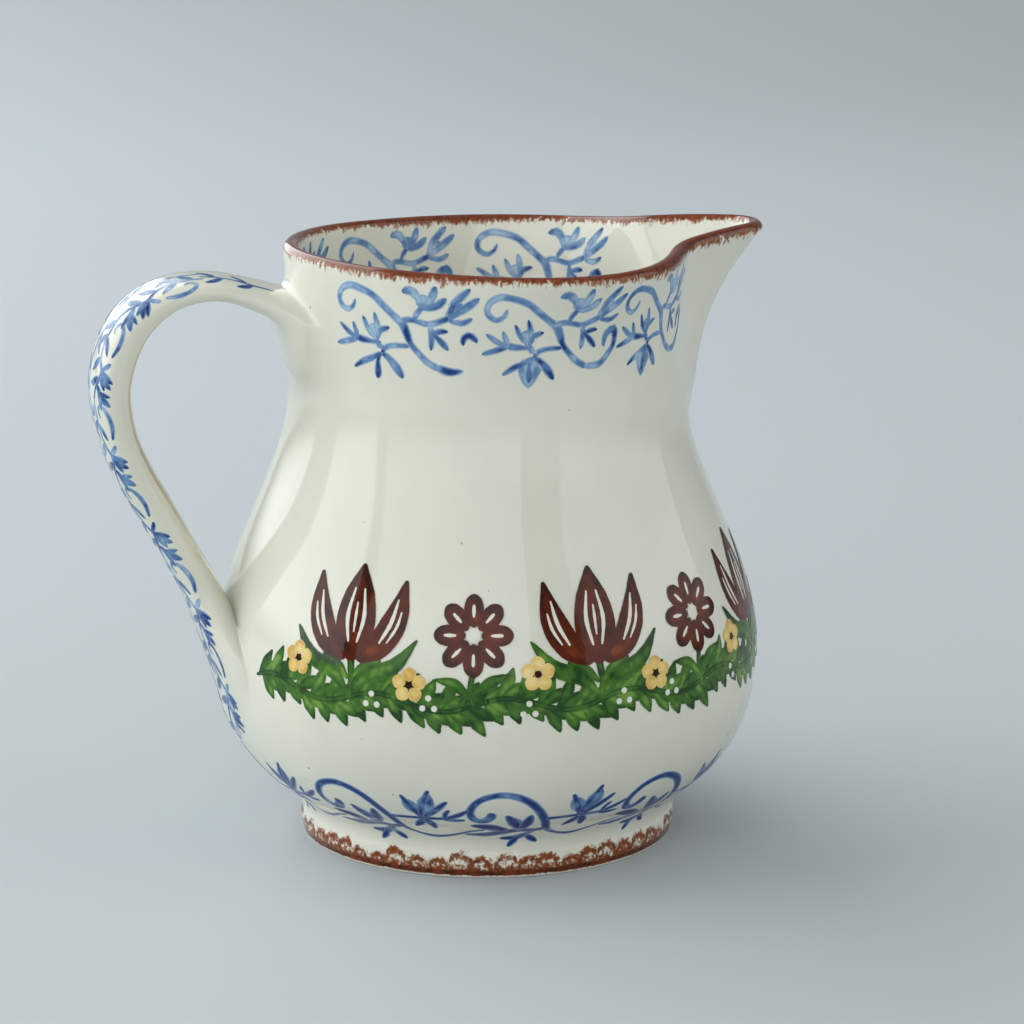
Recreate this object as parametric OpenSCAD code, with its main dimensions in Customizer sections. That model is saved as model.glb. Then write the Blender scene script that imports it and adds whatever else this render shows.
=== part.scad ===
// Pouring jug of glazed earthenware. It has a round belly on a foot ring, an open neck
// with a beaked pouring lip, and a strap handle opposite the beak.
// The jug stands on z = 0 about the Z axis. The beak points along +X, the handle along -X.

/* [Body] */
// Radius of the belly at its widest
belly_r = 70; // [62:1:80]
// Height of the belly's widest point
belly_z = 48.5; // [44:0.5:58]
// Radius of the neck at its narrowest
neck_r = 50.2; // [46:0.2:55]
// Height of the neck's narrowest point
neck_z = 121; // [112:0.5:128]
// Outer radius of the mouth on the handle's side
mouth_r = 51.6; // [48:0.2:56]
// Height of the lip where it is lowest, between beak and handle
rim_z = 152.4; // [149:0.2:164]
// How much higher the lip stands over the handle
rim_back_rise = 2.2; // [0:0.1:4]
// How far the mouth swells sideways behind the beak
mouth_swell = 5; // [0:0.1:6]
// Thickness of the wall
wall_t = 4; // [3:0.1:5]
// Thickness of the floor
floor_t = 5; // [4:0.1:8]

/* [Beak] */
// Distance from the axis to the front of the beak
beak_reach = 72.4; // [66:0.5:80]
// How much higher the lip stands at the beak's tip
beak_rise = 5.3; // [2:0.1:8]
// Depth of the beak below the lip, where it dies into the neck
beak_drop = 46; // [38:0.5:52]
// Radius of the beak's rounded front
beak_front_r = 12; // [9:0.5:14]
// Half the angle between the beak's flanks at the lip
beak_lip_angle = 34; // [30:1:40]
// Half the angle between the flanks at the beak's foot
beak_foot_angle = 66; // [58:1:72]
// Width of the soft fillet between beak and neck
beak_fillet = 3.5; // [2:0.5:6]

/* [Foot] */
// Outer radius of the foot ring
foot_r = 48.4; // [42:0.2:54]
// Height of the foot ring
foot_h = 10; // [7:0.5:13]
// Width of the foot ring's tread
foot_w = 6.4; // [5:0.2:9]
// How far the foot ring's side swells outwards
foot_bulge = 0.5; // [0:0.1:1]
// Rounding of the foot ring's edges
foot_edge = 0.8; // [0.4:0.1:1.5]

/* [Handle] */
// Distance from the axis to the handle's farthest reach
handle_reach = 101.5; // [94:0.5:112]
// Height of the handle's centre line where it leaves the neck
handle_z = 145.4; // [140:0.2:146]
// Width of the strap
handle_w = 25; // [20:0.5:30]
// Thickness of the strap
handle_t = 8.6; // [7:0.1:10]

/* [Hidden] */

glaze = "#e2e3d6";
lip_glaze = "#dfe1d3";
foot_glaze = "#d9d6c6";
handle_glaze = "#dcdccc";

// Rings along each arc of the wall, over the lip, and columns round the jug
lower_rings = 8;
upper_rings = 9;
neck_rings = 8;
lip_rings = 5;
beak_columns = 12;
rest_columns = 40;
columns = beak_columns + rest_columns;
round_sides = 96;

lip_r = wall_t/2;
lip_base_z = rim_z - lip_r;
floor_z = foot_h + floor_t;
beak_foot_z = rim_z - beak_drop;

// Shares that draw the belly's and neck's curves
foot_lean_share = 0.26;
foot_rise_share = 0.16;
belly_full_share = 0.72;
shoulder_full_share = 0.36;
neck_full_share = 0.35;
neck_hold_share = 0.35;
mouth_flare_share = 0.5;

lower_arc = [
    [foot_r, foot_h],
    [foot_r + foot_lean_share*(belly_r - foot_r), foot_h + foot_rise_share*(belly_z - foot_h)],
    [belly_r, belly_z - belly_full_share*(belly_z - foot_h)],
    [belly_r, belly_z]];
upper_arc = [
    [belly_r, belly_z],
    [belly_r, belly_z + shoulder_full_share*(neck_z - belly_z)],
    [neck_r, neck_z - neck_full_share*(neck_z - belly_z)],
    [neck_r, neck_z]];
neck_arc = [
    [neck_r, neck_z],
    [neck_r, neck_z + neck_hold_share*(lip_base_z - neck_z)],
    [neck_r + mouth_flare_share*(mouth_r - neck_r), lip_base_z - neck_hold_share*(lip_base_z - neck_z)],
    [mouth_r, lip_base_z]];

function clamp(v, low, high) = min(max(v, low), high);
function lerp(a, b, t) = a + (b - a)*t;

function bezier(p, t) =
    pow(1 - t, 3)*p[0] + 3*pow(1 - t, 2)*t*p[1] + 3*(1 - t)*t*t*p[2] + pow(t, 3)*p[3];

function bezier_run(p, t) =
    3*pow(1 - t, 2)*(p[1] - p[0]) + 6*(1 - t)*t*(p[2] - p[1]) + 3*t*t*(p[3] - p[2]);

// Outward normal of the wall's outline at t
function arc_normal(p, t) = let (run = bezier_run(p, t)) [run[1], -run[0]]/norm(run);

// Each wall station holds [outer radius, height, inset in radius, inset in height]
function arc_stations(p, n, last, inset) = [
    for (k = [0 : last ? n : n - 1])
        let (at = bezier(p, k/n), side = arc_normal(p, k/n))
        [at[0], at[1], inset*side[0], inset*side[1]]];

function wall_stations(inset) = concat(
    arc_stations(lower_arc, lower_rings, false, inset),
    arc_stations(upper_arc, upper_rings, false, inset),
    arc_stations(neck_arc, neck_rings, true, inset));

function lip_station(k) =
    let (turn = 180*k/(lip_rings + 1))
    [mouth_r, lip_base_z + lip_r*sin(turn), lip_r*(1 - cos(turn)), 0];

function reversed(list) = [for (k = [len(list) - 1 : -1 : 0]) list[k]];

outer_stations = wall_stations(0);
stations = concat(
    outer_stations,
    [for (k = [1 : lip_rings]) lip_station(k)],
    reversed(wall_stations(wall_t)));
last_station = len(stations) - 1;
crest_station = last_station/2;

// The beak's flanks and rounded front, as a radius at an angle from the beak's ridge
beak_step_share = 0.23;
beak_step_height_share = 0.35;
beak_curl = 3.2;

function beak_share(z) =
    let (u = (z - beak_foot_z)/(lip_base_z - beak_foot_z), v = u/beak_step_height_share)
    beak_step_share*(v < 0 ? 2*max(v, -1) : v < 1 ? v*(2 - v) : 1)
    + (1 - beak_step_share)*pow(clamp(u, 0, 1), beak_curl);

function beak_height_share(z) = clamp((z - beak_foot_z)/(lip_base_z - beak_foot_z), 0, 1);

function beak_radius(angle, tip, front, half) =
    let (centre = tip - front, apex = centre + front/sin(half), a = abs(angle))
    let (edge = atan2(front*cos(half), centre + front*sin(half)))
    a < edge ? centre*cos(a) + sqrt(pow(front, 2) - pow(centre*sin(a), 2))
    : apex*sin(half)/sin(min(a, 90 - half) + half);

function soft_max(a, b, width) =
    max(a, b) + pow(max(width - abs(a - b), 0), 2)/(4*width);

// How the mouth swells on either side behind the beak
swell_angle = 68;
swell_spread = 53;
beak_rise_spread = 38;

function swell_share(angle) =
    let (off = min(abs(abs(angle) - swell_angle), swell_spread))
    pow(cos(90*off/swell_spread), 2);

function turned(angle) = angle > 180 ? angle - 360 : angle;
function mouth_share(z) = pow(clamp((z - neck_z)/(lip_base_z - neck_z), 0, 1), 2);

function rim_lift(angle) =
    beak_rise*exp(-pow(angle/beak_rise_spread, 2))
    + rim_back_rise*pow((1 - cos(angle))/2, 2);

// Point of the wall at an angle from the beak's ridge and at a station
function wall_point(column_angle, s) =
    let (angle = turned(column_angle), z = s[1])
    let (round_r = s[0] - s[2] + mouth_swell*swell_share(angle)*mouth_share(z))
    let (tip = s[0] + (beak_reach - mouth_r)*beak_share(z) - s[2])
    let (half = lerp(beak_foot_angle, beak_lip_angle, beak_height_share(z)))
    let (beak_r = beak_radius(angle, tip, beak_front_r - s[2], half))
    let (r = soft_max(round_r, beak_r, beak_fillet))
    let (height = max(z - s[3], s[2] > 0 ? floor_z : foot_h) + rim_lift(angle)*mouth_share(z))
    [r*cos(angle), r*sin(angle), height];

// The seam between beak and neck, a V that is wider at the lip
seam_lip_angle = 27;
seam_foot_angle = 15;
function seam_angle(z) = lerp(seam_foot_angle, seam_lip_angle, beak_height_share(z));

function column_angle(j, seam) =
    j <= beak_columns ? lerp(-seam, seam, j/beak_columns)
    : lerp(seam, 360 - seam, (j - beak_columns)/rest_columns);

seam_station = min([for (k = [0 : len(outer_stations) - 1])
    if (outer_stations[k][1] >= beak_foot_z) k]);
seam_end = last_station - seam_station;

wall_points = [
    for (s = stations)
        for (j = [0 : columns - 1])
            wall_point(column_angle(j, seam_angle(s[1])), s)];

function v(i, j) = i*columns + j % columns;
function flipped(faces) = [for (f = faces) reversed(f)];

function cell_faces(i, j) = [
    [v(i, j), v(i + 1, j), v(i + 1, j + 1)],
    [v(i, j), v(i + 1, j + 1), v(i, j + 1)]];

// Faces across the thickness of the wall, up the seam at column j
function seam_faces(j) = [
    for (i = [seam_station : crest_station - 1])
        let (low = last_station - i)
        for (f = [[v(i, j), v(i + 1, j), v(low, j)], [v(i + 1, j), v(low - 1, j), v(low, j)]])
            if (f[0] != f[1]) f];

// Faces across the thickness of the wall, along the seam's foot
function seam_foot_faces() = [
    for (j = [0 : beak_columns - 1])
        for (f = [
            [v(seam_station, j + 1), v(seam_station, j), v(seam_end, j)],
            [v(seam_station, j + 1), v(seam_end, j), v(seam_end, j + 1)]])
            f];

function in_beak(i, j) = j < beak_columns && i >= seam_station && i < seam_end;

function wall_faces(beak) = [
    for (i = [0 : last_station - 1])
        for (j = [0 : columns - 1])
            if (in_beak(i, j) == beak)
                for (f = cell_faces(i, j)) f];

module body() {
    color(glaze)
        polyhedron(wall_points, concat(
            wall_faces(false),
            seam_faces(0),
            flipped(seam_faces(beak_columns)),
            seam_foot_faces(),
            [[for (j = [0 : columns - 1]) v(0, j)]],
            [[for (j = [columns - 1 : -1 : 0]) v(last_station, j)]]));
}

module pouring_lip() {
    color(lip_glaze)
        polyhedron(wall_points, concat(
            wall_faces(true),
            flipped(seam_faces(0)),
            seam_faces(beak_columns),
            flipped(seam_foot_faces())));
}

module foot_ring() {
    color(foot_glaze)
        rotate_extrude($fn = round_sides)
            polygon([
                [foot_r - foot_w - foot_edge, foot_h],
                [foot_r - foot_w, foot_edge],
                [foot_r - foot_w + foot_edge, 0],
                [foot_r - foot_edge, 0],
                [foot_r, foot_edge],
                [foot_r + foot_bulge, foot_h/2],
                [foot_r, foot_h]]);
}

// The handle's line, row by row: how far out, how high, half the width, half the thickness
// on the outer and inner side, and how closely the section hugs the jug, all as shares
upper_line_shares = [
    [-0.160, 0.942, 0.84, 0.40, 2.80, 1.0],
    [-0.045, 0.946, 0.78, 0.38, 2.30, 1.0],
    [0.060, 0.956, 0.66, 0.36, 0.75, 0.6],
    [0.210, 0.976, 0.545, 0.36, 0.42, 0.2],
    [0.386, 0.995, 0.505, 0.36, 0.36, 0],
    [0.581, 0.981, 0.50, 0.46, 0.40, 0],
    [0.745, 0.933, 0.50, 0.53, 0.54, 0],
    [0.852, 0.857, 0.50, 0.57, 0.61, 0],
    [0.910, 0.743, 0.50, 0.55, 0.62, 0],
    [0.881, 0.624, 0.49, 0.52, 0.58, 0],
    [0.811, 0.521, 0.49, 0.53, 0.60, 0]];
lower_line_shares = [
    [0.514, 0.413, 0.49, 0.53, 0.60, 0],
    [0.311, 0.294, 0.50, 0.53, 0.57, 0],
    [0.165, 0.196, 0.54, 0.51, 0.62, 0.2],
    [0.076, 0.108, 0.68, 0.46, 0.70, 0.6],
    [0.000, 0.015, 0.92, 0.40, 0.40, 1.0],
    [-0.054, -0.077, 0.96, 0.28, 0.25, 1.0],
    [-0.130, -0.160, 0.78, 0.30, 0.20, 1.0],
    [-0.210, -0.222, 0.44, 0.17, 0.15, 1.0],
    [-0.300, -0.268, 0.16, 0.10, 0.10, 1.0]];
handle_steps = 3;
section_sides = 20;
section_fullness = 0.78;

// Row as sizes: [distance out, height, half width, outer and inner half thickness, bend]
function handle_row(shares, anchor_r) = [
    anchor_r + shares[0]*(handle_reach - anchor_r),
    belly_z + shares[1]*(handle_z - belly_z),
    shares[2]*handle_w,
    shares[3]*handle_t,
    shares[4]*handle_t,
    shares[5]/(2*anchor_r)];

handle_rows = concat(
    [for (s = upper_line_shares) handle_row(s, neck_r)],
    [for (s = lower_line_shares) handle_row(s, belly_r)]);
last_row = len(handle_rows) - 1;

// Smooth curve through the rows
function through(a, b, c, d, t) =
    0.5*(2*b + (c - a)*t + (2*a - 5*b + 4*c - d)*t*t + (3*b - a - 3*c + d)*pow(t, 3));

function row_at(k, t) = through(
    handle_rows[max(k - 1, 0)], handle_rows[k],
    handle_rows[k + 1], handle_rows[min(k + 2, last_row)], t);

handle_line = concat(
    [for (k = [0 : last_row - 1]) for (n = [0 : handle_steps - 1]) row_at(k, n/handle_steps)],
    [handle_rows[last_row]]);
last_ring = len(handle_line) - 1;

function signed_pow(x, e) = sign(x)*pow(abs(x), e);

function handle_ring(i) =
    let (row = handle_line[i])
    let (ahead = handle_line[min(i + 1, last_ring)], back = handle_line[max(i - 1, 0)])
    let (run = [back[0] - ahead[0], ahead[1] - back[1]])
    let (out = [run[1], -run[0]]/norm(run))
    [for (k = [0 : section_sides - 1])
        let (turn = 360*k/section_sides)
        let (across = row[2]*signed_pow(cos(turn), section_fullness))
        let (depth = signed_pow(sin(turn), section_fullness)*(sin(turn) > 0 ? row[3] : row[4]))
        let (rise = depth - row[5]*across*across)
        [-row[0] + rise*out[0], across, row[1] + rise*out[1]]];

function h(i, k) = i*section_sides + k % section_sides;

module handle_strap() {
    polyhedron(
        [for (i = [0 : last_ring]) for (p = handle_ring(i)) p],
        concat(
            [for (i = [0 : last_ring - 1]) for (k = [0 : section_sides - 1])
                [h(i, k), h(i + 1, k + 1), h(i + 1, k)]],
            [for (i = [0 : last_ring - 1]) for (k = [0 : section_sides - 1])
                [h(i, k), h(i, k + 1), h(i + 1, k + 1)]],
            [[for (k = [section_sides - 1 : -1 : 0]) h(0, k)]],
            [[for (k = [0 : section_sides - 1]) h(last_ring, k)]]));
}

// The solid that the jug's outside encloses, which the handle's ends are trimmed to
module jug_envelope() {
    rotate_extrude($fn = round_sides)
        polygon(concat(
            [[0, foot_h]],
            [for (s = outer_stations) [s[0], s[1]]],
            [[0, lip_base_z]]));
}

module handle() {
    color(handle_glaze)
        difference() {
            handle_strap();
            jug_envelope();
        }
}

body();
pouring_lip();
foot_ring();
handle();
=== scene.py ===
# %% [markdown]
# # A glazed pouring jug
# A round-bellied earthenware jug with a beak, a strap handle and a foot ring. It is thrown,
# luted together from four clay pieces, painted by hand and dipped in a clear glaze.
# The lesson goes as the potter does: clay shapes first, then the brushwork, then the light.
# Every size is in millimetres, and is turned to metres when a mesh is written.

# %% The frame that everything is built around
import math
import random

import bpy
import numpy as np
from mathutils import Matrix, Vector


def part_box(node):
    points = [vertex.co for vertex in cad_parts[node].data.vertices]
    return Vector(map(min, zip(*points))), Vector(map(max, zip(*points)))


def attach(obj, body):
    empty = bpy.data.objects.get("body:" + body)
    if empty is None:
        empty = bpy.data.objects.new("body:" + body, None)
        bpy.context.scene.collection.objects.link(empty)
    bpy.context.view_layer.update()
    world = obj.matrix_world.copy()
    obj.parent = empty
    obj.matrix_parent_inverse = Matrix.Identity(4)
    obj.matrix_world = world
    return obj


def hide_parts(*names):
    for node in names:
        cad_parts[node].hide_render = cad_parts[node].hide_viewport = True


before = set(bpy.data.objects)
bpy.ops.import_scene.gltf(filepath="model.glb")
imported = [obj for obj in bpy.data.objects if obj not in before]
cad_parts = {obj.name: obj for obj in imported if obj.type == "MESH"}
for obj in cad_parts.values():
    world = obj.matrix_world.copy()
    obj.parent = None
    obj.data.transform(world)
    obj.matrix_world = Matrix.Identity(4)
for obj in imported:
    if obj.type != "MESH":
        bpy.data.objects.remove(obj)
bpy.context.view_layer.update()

MM = 0.001
for cad_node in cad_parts.values():
    cad_node.select_set(False)

# %% [markdown]
# ## The sizes of the jug
# A potter works from a few gauges: how wide the belly is, how narrow the neck, how high the
# rim. Widths that the frame already holds are read from it, and the rest are written once here.

# %% The potter's gauges
body_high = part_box("body")[1]
lip_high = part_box("pouring_lip")[1]
foot_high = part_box("foot_ring")[1]

BELLY_R = body_high.y/MM
BELLY_Z = 48.5
NECK_R = 50.2
NECK_Z = 121
MOUTH_R = 51.6
RIM_Z = 152.4
RIM_BACK_RISE = 2.2
MOUTH_SWELL = 5
MOUTH_SWELL_TURN = 68
MOUTH_SWELL_SPREAD = 53
WALL_T = 4
FLOOR_T = 5
BEAK_REACH = lip_high.x/MM
BEAK_RISE = 5.3
BEAK_RISE_SPREAD = 38
BEAK_DROP = 46
BEAK_FRONT_R = 12
BEAK_LIP_ANGLE = 34
BEAK_FOOT_ANGLE = 66
BEAK_FILLET = 3.5
FOOT_R = 48.4
FOOT_H = foot_high.z/MM
FOOT_W = 6.4
HANDLE_REACH = 101.5
HANDLE_Z = 145.4
HANDLE_W = 25
HANDLE_T = 8.6

LIP_R = WALL_T/2
LIP_BASE_Z = RIM_Z - LIP_R
FLOOR_Z = FOOT_H + FLOOR_T
BEAK_FOOT_Z = RIM_Z - BEAK_DROP
print(f"belly {2*BELLY_R:.1f} across, beak to {BEAK_REACH:.1f}, foot {FOOT_H:.1f} high")

# %% [markdown]
# ## The outline of the thrown wall
# A thrown pot is a turned shape, so its wall is one outline carried round the axis. Bezier
# arcs draw it, as a draughtsman would with three sweeps of a pen: foot to belly, belly to
# neck, neck to mouth. Their ends share upright tangents, so reflections run over them smoothly.
# A small fourth arc is the cove where the wall runs down into the foot.

# %% Three arcs, and how far along the clay each point lies
OUTLINE_STEPS = 300
LOWER_ARC = [(FOOT_R, FOOT_H), (FOOT_R + 0.26*(BELLY_R - FOOT_R), FOOT_H + 0.16*(BELLY_Z - FOOT_H)),
             (BELLY_R, BELLY_Z - 0.72*(BELLY_Z - FOOT_H)), (BELLY_R, BELLY_Z)]
UPPER_ARC = [(BELLY_R, BELLY_Z), (BELLY_R, BELLY_Z + 0.36*(NECK_Z - BELLY_Z)),
             (NECK_R, NECK_Z - 0.35*(NECK_Z - BELLY_Z)), (NECK_R, NECK_Z)]
NECK_ARC = [(NECK_R, NECK_Z), (NECK_R, NECK_Z + 0.35*(LIP_BASE_Z - NECK_Z)),
            (NECK_R + 0.5*(MOUTH_R - NECK_R), LIP_BASE_Z - 0.35*(LIP_BASE_Z - NECK_Z)),
            (MOUTH_R, LIP_BASE_Z)]


def bezier(arc, t):
    """Points on an arc of four handles, and the direction it runs in there."""
    a, b, c, d = (np.array(p, float) for p in arc)
    t = np.asarray(t, float)[:, None]
    at = (1 - t)**3*a + 3*(1 - t)**2*t*b + 3*(1 - t)*t*t*c + t**3*d
    run = 3*(1 - t)**2*(b - a) + 6*(1 - t)*t*(c - b) + 3*t*t*(d - c)
    return at, run/np.linalg.norm(run, axis=1)[:, None]


def wall_outline(points_per_arc):
    """Points of the outline from foot to mouth, and the direction into the clay at each."""
    steps = np.linspace(0, 1, points_per_arc, endpoint=False)
    parts = [bezier(arc, steps) for arc in (LOWER_ARC, UPPER_ARC, NECK_ARC)]
    parts.append(bezier(NECK_ARC, [1.0]))
    at = np.concatenate([p[0] for p in parts])
    run = np.concatenate([p[1] for p in parts])
    return at, np.stack([run[:, 1], -run[:, 0]], 1)


LINE, LINE_SIDE = wall_outline(OUTLINE_STEPS)
ALONG = np.concatenate([[0], np.cumsum(np.linalg.norm(np.diff(LINE, axis=0), axis=1))])


def clay_at(along):
    """Radius and height of the outline at a length along it."""
    return [float(np.interp(along, ALONG, LINE[:, k])) for k in (0, 1)]


COVE_ALONG = 3.6
COVE_RISE = 2.8
COVE_STEPS = 40
COVE_PULLS = ((0, -0.9), (0.55, 0.75))
COVE_ARC = [(FOOT_R, FOOT_H - COVE_RISE), *((FOOT_R + out, FOOT_H + up) for out, up in COVE_PULLS),
            clay_at(COVE_ALONG)]
cove_line = bezier(COVE_ARC, np.linspace(0, 1, COVE_STEPS))[0]
cove_length = np.concatenate([[0], np.cumsum(np.linalg.norm(np.diff(cove_line, axis=0), axis=1))])
above_cove = ALONG > COVE_ALONG
GLAZED_LINE = np.vstack([cove_line, LINE[above_cove]])
GLAZED_ALONG = np.concatenate([COVE_ALONG + cove_length - cove_length[-1], ALONG[above_cove]])


def along_at(height):
    """How far along the glazed outline the clay reaches a height."""
    return float(np.interp(height, GLAZED_LINE[:, 1], GLAZED_ALONG))


print(f"wall outline: {ALONG[-1]:.0f} mm of clay from foot to lip")

# %% [markdown]
# ## The beak, and the mouth that swells behind it
# The beak is a folded sheet of clay: two flat flanks that meet in a rounded front. At one
# height it is two straight lines and an arc, so its radius at an angle is a formula. The
# wall takes whichever stands farther out, round neck or beak, with a soft fillet between.


# %% A point of the wall, at an angle from the beak and a place on the outline
SWELL_SHARE = 0.23
SWELL_HEIGHT_SHARE = 0.35
SWEEP_POWER = 3.2
LEVEL_ABOVE_FOOT = 6


def share(z, low, high):
    """Where z lies between low and high, from 0 to 1."""
    return np.clip((z - low)/(high - low), 0, 1)


def beak_share(z):
    """How far the beak stands out at a height: a quick first swell, then the long sweep of the lip."""
    u = (z - BEAK_FOOT_Z)/(LIP_BASE_Z - BEAK_FOOT_Z)
    v = u/SWELL_HEIGHT_SHARE
    swell = np.where(v < 0, 2*np.maximum(v, -1), np.where(v < 1, v*(2 - v), 1))
    return SWELL_SHARE*swell + (1 - SWELL_SHARE)*np.clip(u, 0, 1)**SWEEP_POWER


def beak_radius(angle, tip, front, half):
    """Radius of two flat flanks, each turned half from the beak's line, with a rounded front."""
    a = np.radians(np.abs(angle))
    centre = tip - front
    edge = np.arctan2(front*np.cos(half), centre + front*np.sin(half))
    under = np.maximum(front**2 - (centre*np.sin(a))**2, 0)
    flank_turn = np.minimum(a, np.pi/2 - half) + half
    flank = (centre*np.sin(half) + front)/np.sin(flank_turn)
    return np.where(a < edge, centre*np.cos(a) + np.sqrt(under), flank)


def soft_max(a, b, width):
    """The larger of two sizes, with a smooth fillet where they meet."""
    return np.maximum(a, b) + np.maximum(width - np.abs(a - b), 0)**2/(4*width)


def rim_lift(angle):
    """How much higher the rim stands at an angle: highest at the beak, a little up at the back."""
    back = (1 - np.cos(np.radians(angle)))/2
    return BEAK_RISE*np.exp(-(angle/BEAK_RISE_SPREAD)**2) + RIM_BACK_RISE*back**2


def wall_point(angle, r, z, inset_r=0.0, inset_z=0.0):
    """A point of the clay, from an angle and a place on the outline, set in by the wall's thickness."""
    mouth = share(z, NECK_Z, LIP_BASE_Z)**2
    off = np.minimum(np.abs(np.abs(angle) - MOUTH_SWELL_TURN), MOUTH_SWELL_SPREAD)
    round_r = r - inset_r + MOUTH_SWELL*mouth*np.cos(np.radians(90*off/MOUTH_SWELL_SPREAD))**2
    tip = r + (BEAK_REACH - MOUTH_R)*beak_share(z) - inset_r
    up_beak = share(z, BEAK_FOOT_Z, LIP_BASE_Z)
    half = np.radians(BEAK_FOOT_ANGLE + (BEAK_LIP_ANGLE - BEAK_FOOT_ANGLE)*up_beak)
    out = soft_max(round_r, beak_radius(angle, tip, BEAK_FRONT_R - inset_r, half), BEAK_FILLET)
    lowest = np.where(np.asarray(inset_r) > 0, FLOOR_Z, FOOT_H)
    height = np.maximum(z - inset_z, lowest) + rim_lift(angle)*mouth
    turn = np.radians(angle)
    return np.stack([out*np.cos(turn), out*np.sin(turn), height], -1)


def on_wall(angle, along, inside=False):
    """The glazed face of the wall, at an angle and a length along the outline."""
    if not inside:
        r, z = (np.interp(along, GLAZED_ALONG, GLAZED_LINE[:, k]) for k in (0, 1))
        at = wall_point(angle, r, z)
        at[..., 2] = np.where(z < FOOT_H + LEVEL_ABOVE_FOOT, z, at[..., 2])
        return at
    r, z, inset_r, inset_z = (np.interp(along, ALONG, line) for line in (*LINE.T, *LINE_SIDE.T))
    return wall_point(angle, r, z, WALL_T*inset_r, WALL_T*inset_z)


def wall_side(angle, along, inside=False):
    """Direction out of the clay at a place on the wall."""
    reach = 0.3
    round_run = on_wall(angle + reach, along, inside) - on_wall(angle - reach, along, inside)
    up_run = on_wall(angle, along + reach, inside) - on_wall(angle, along - reach, inside)
    side = np.cross(round_run, up_run)
    side /= np.linalg.norm(side, axis=-1)[..., None]
    return -side if inside else side


print("lip at the beak's tip:", np.round(on_wall(np.array([0.0]), np.array([ALONG[-1]]))[0], 1))

# %% [markdown]
# ## Wrapping a flat sheet
# In Blender such a wall can be spun or lofted by hand, but a beak isn't a turned shape and a
# loft of separate rings shows ridges in a gloss glaze. So a flat grid is added, with as many
# cells as the surface needs, and its points are carried on to the shape, as clay is pressed
# over a mould. The sheet's seams are then merged.


# %% Small helpers for selecting, wrapping and merging
def deselect_all():
    bpy.ops.object.select_all(action="DESELECT")


def only(piece):
    deselect_all()
    piece.select_set(True)
    bpy.context.view_layer.objects.active = piece


def points_of(piece):
    at = np.zeros(len(piece.data.vertices)*3)
    piece.data.vertices.foreach_get("co", at)
    return at.reshape(-1, 3)


def set_points(piece, at):
    piece.data.vertices.foreach_set("co", np.asarray(at, np.float32).ravel())
    piece.data.update()


def add_sheet(name, cells_across, cells_up):
    """A flat grid, and the place of each of its points, from 0 to 1 across and up."""
    deselect_all()
    bpy.ops.mesh.primitive_grid_add(x_subdivisions=cells_across, y_subdivisions=cells_up, size=1)
    sheet = bpy.context.object
    sheet.name = name
    sheet.data.name = name
    places = points_of(sheet)[:, :2] + 0.5
    return sheet, places


def add_number(piece, name, values):
    """Stores one number for each point, which a material reads by its name."""
    numbers = piece.data.attributes.new(name, "FLOAT", "POINT")
    numbers.data.foreach_set("value", np.asarray(values, np.float32))


def merge_seams(piece, gap=0.0005):
    """Merges points closer than the gap, in millimetres, and turns all faces outwards."""
    only(piece)
    bpy.ops.object.mode_set(mode="EDIT")
    bpy.ops.mesh.select_all(action="SELECT")
    bpy.ops.mesh.remove_doubles(threshold=gap*MM)
    bpy.ops.mesh.normals_make_consistent(inside=False)
    bpy.ops.object.mode_set(mode="OBJECT")
    bpy.ops.object.shade_smooth()


# %% [markdown]
# ## The glazed wall, beak and all
# On the real jug body and beak are luted and glazed over, so the eye sees one skin. One sheet
# makes it: it starts under the floor, climbs the outside, rolls over the lip, comes down the
# inside and closes over the floor. Columns crowd together at the beak, where the wall bends most.

# %% Rings up the wall, and columns round it
RINGS_PER_ARC = 26
LIP_RINGS = 11
DISC_RINGS = 7
COLUMNS = 240
BEAK_CROWDING = 1.6
BEAK_CROWDING_SPREAD = 36
FINE_ANGLES = 2001
FAR_FROM_CREST = 999

arc_at, arc_side = wall_outline(RINGS_PER_ARC)
arc_along = np.interp(arc_at[:, 1], LINE[:, 1], ALONG)
lip_turn = np.pi*np.arange(1, LIP_RINGS + 1)/(LIP_RINGS + 1)
half_lip = np.pi*LIP_R/2


def ring_table():
    """Rows of [r, z, inset r, inset z, share of radius, distance from the crest]."""
    foot = [[FOOT_R, FOOT_H, 0, 0, k/DISC_RINGS, FAR_FROM_CREST] for k in range(DISC_RINGS)]
    outer = [[r, z, 0, 0, 1, ALONG[-1] - s + half_lip] for (r, z), s in zip(arc_at, arc_along)]
    lip = [[MOUTH_R, LIP_BASE_Z + LIP_R*math.sin(t), LIP_R*(1 - math.cos(t)), 0, 1, half_lip - LIP_R*t]
           for t in lip_turn]
    inner = [[r, z, WALL_T*n, WALL_T*m, 1, -(ALONG[-1] - s + half_lip)]
             for (r, z), (n, m), s in zip(arc_at, arc_side, arc_along)][::-1]
    floor = [inner[-1][:4] + [1 - k/DISC_RINGS, -FAR_FROM_CREST] for k in range(1, DISC_RINGS + 1)]
    return np.array(foot + outer + lip + inner + floor)


def column_angles(count):
    """Angles from -180 to 180 degrees, closer together where the beak is."""
    fine = np.linspace(-180, 180, FINE_ANGLES)
    weight = 1 + BEAK_CROWDING*np.exp(-(fine/BEAK_CROWDING_SPREAD)**2)
    run = np.concatenate([[0], np.cumsum((weight[1:] + weight[:-1])/2)])
    return np.interp(np.linspace(0, run[-1], count + 1), run, fine)


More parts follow.
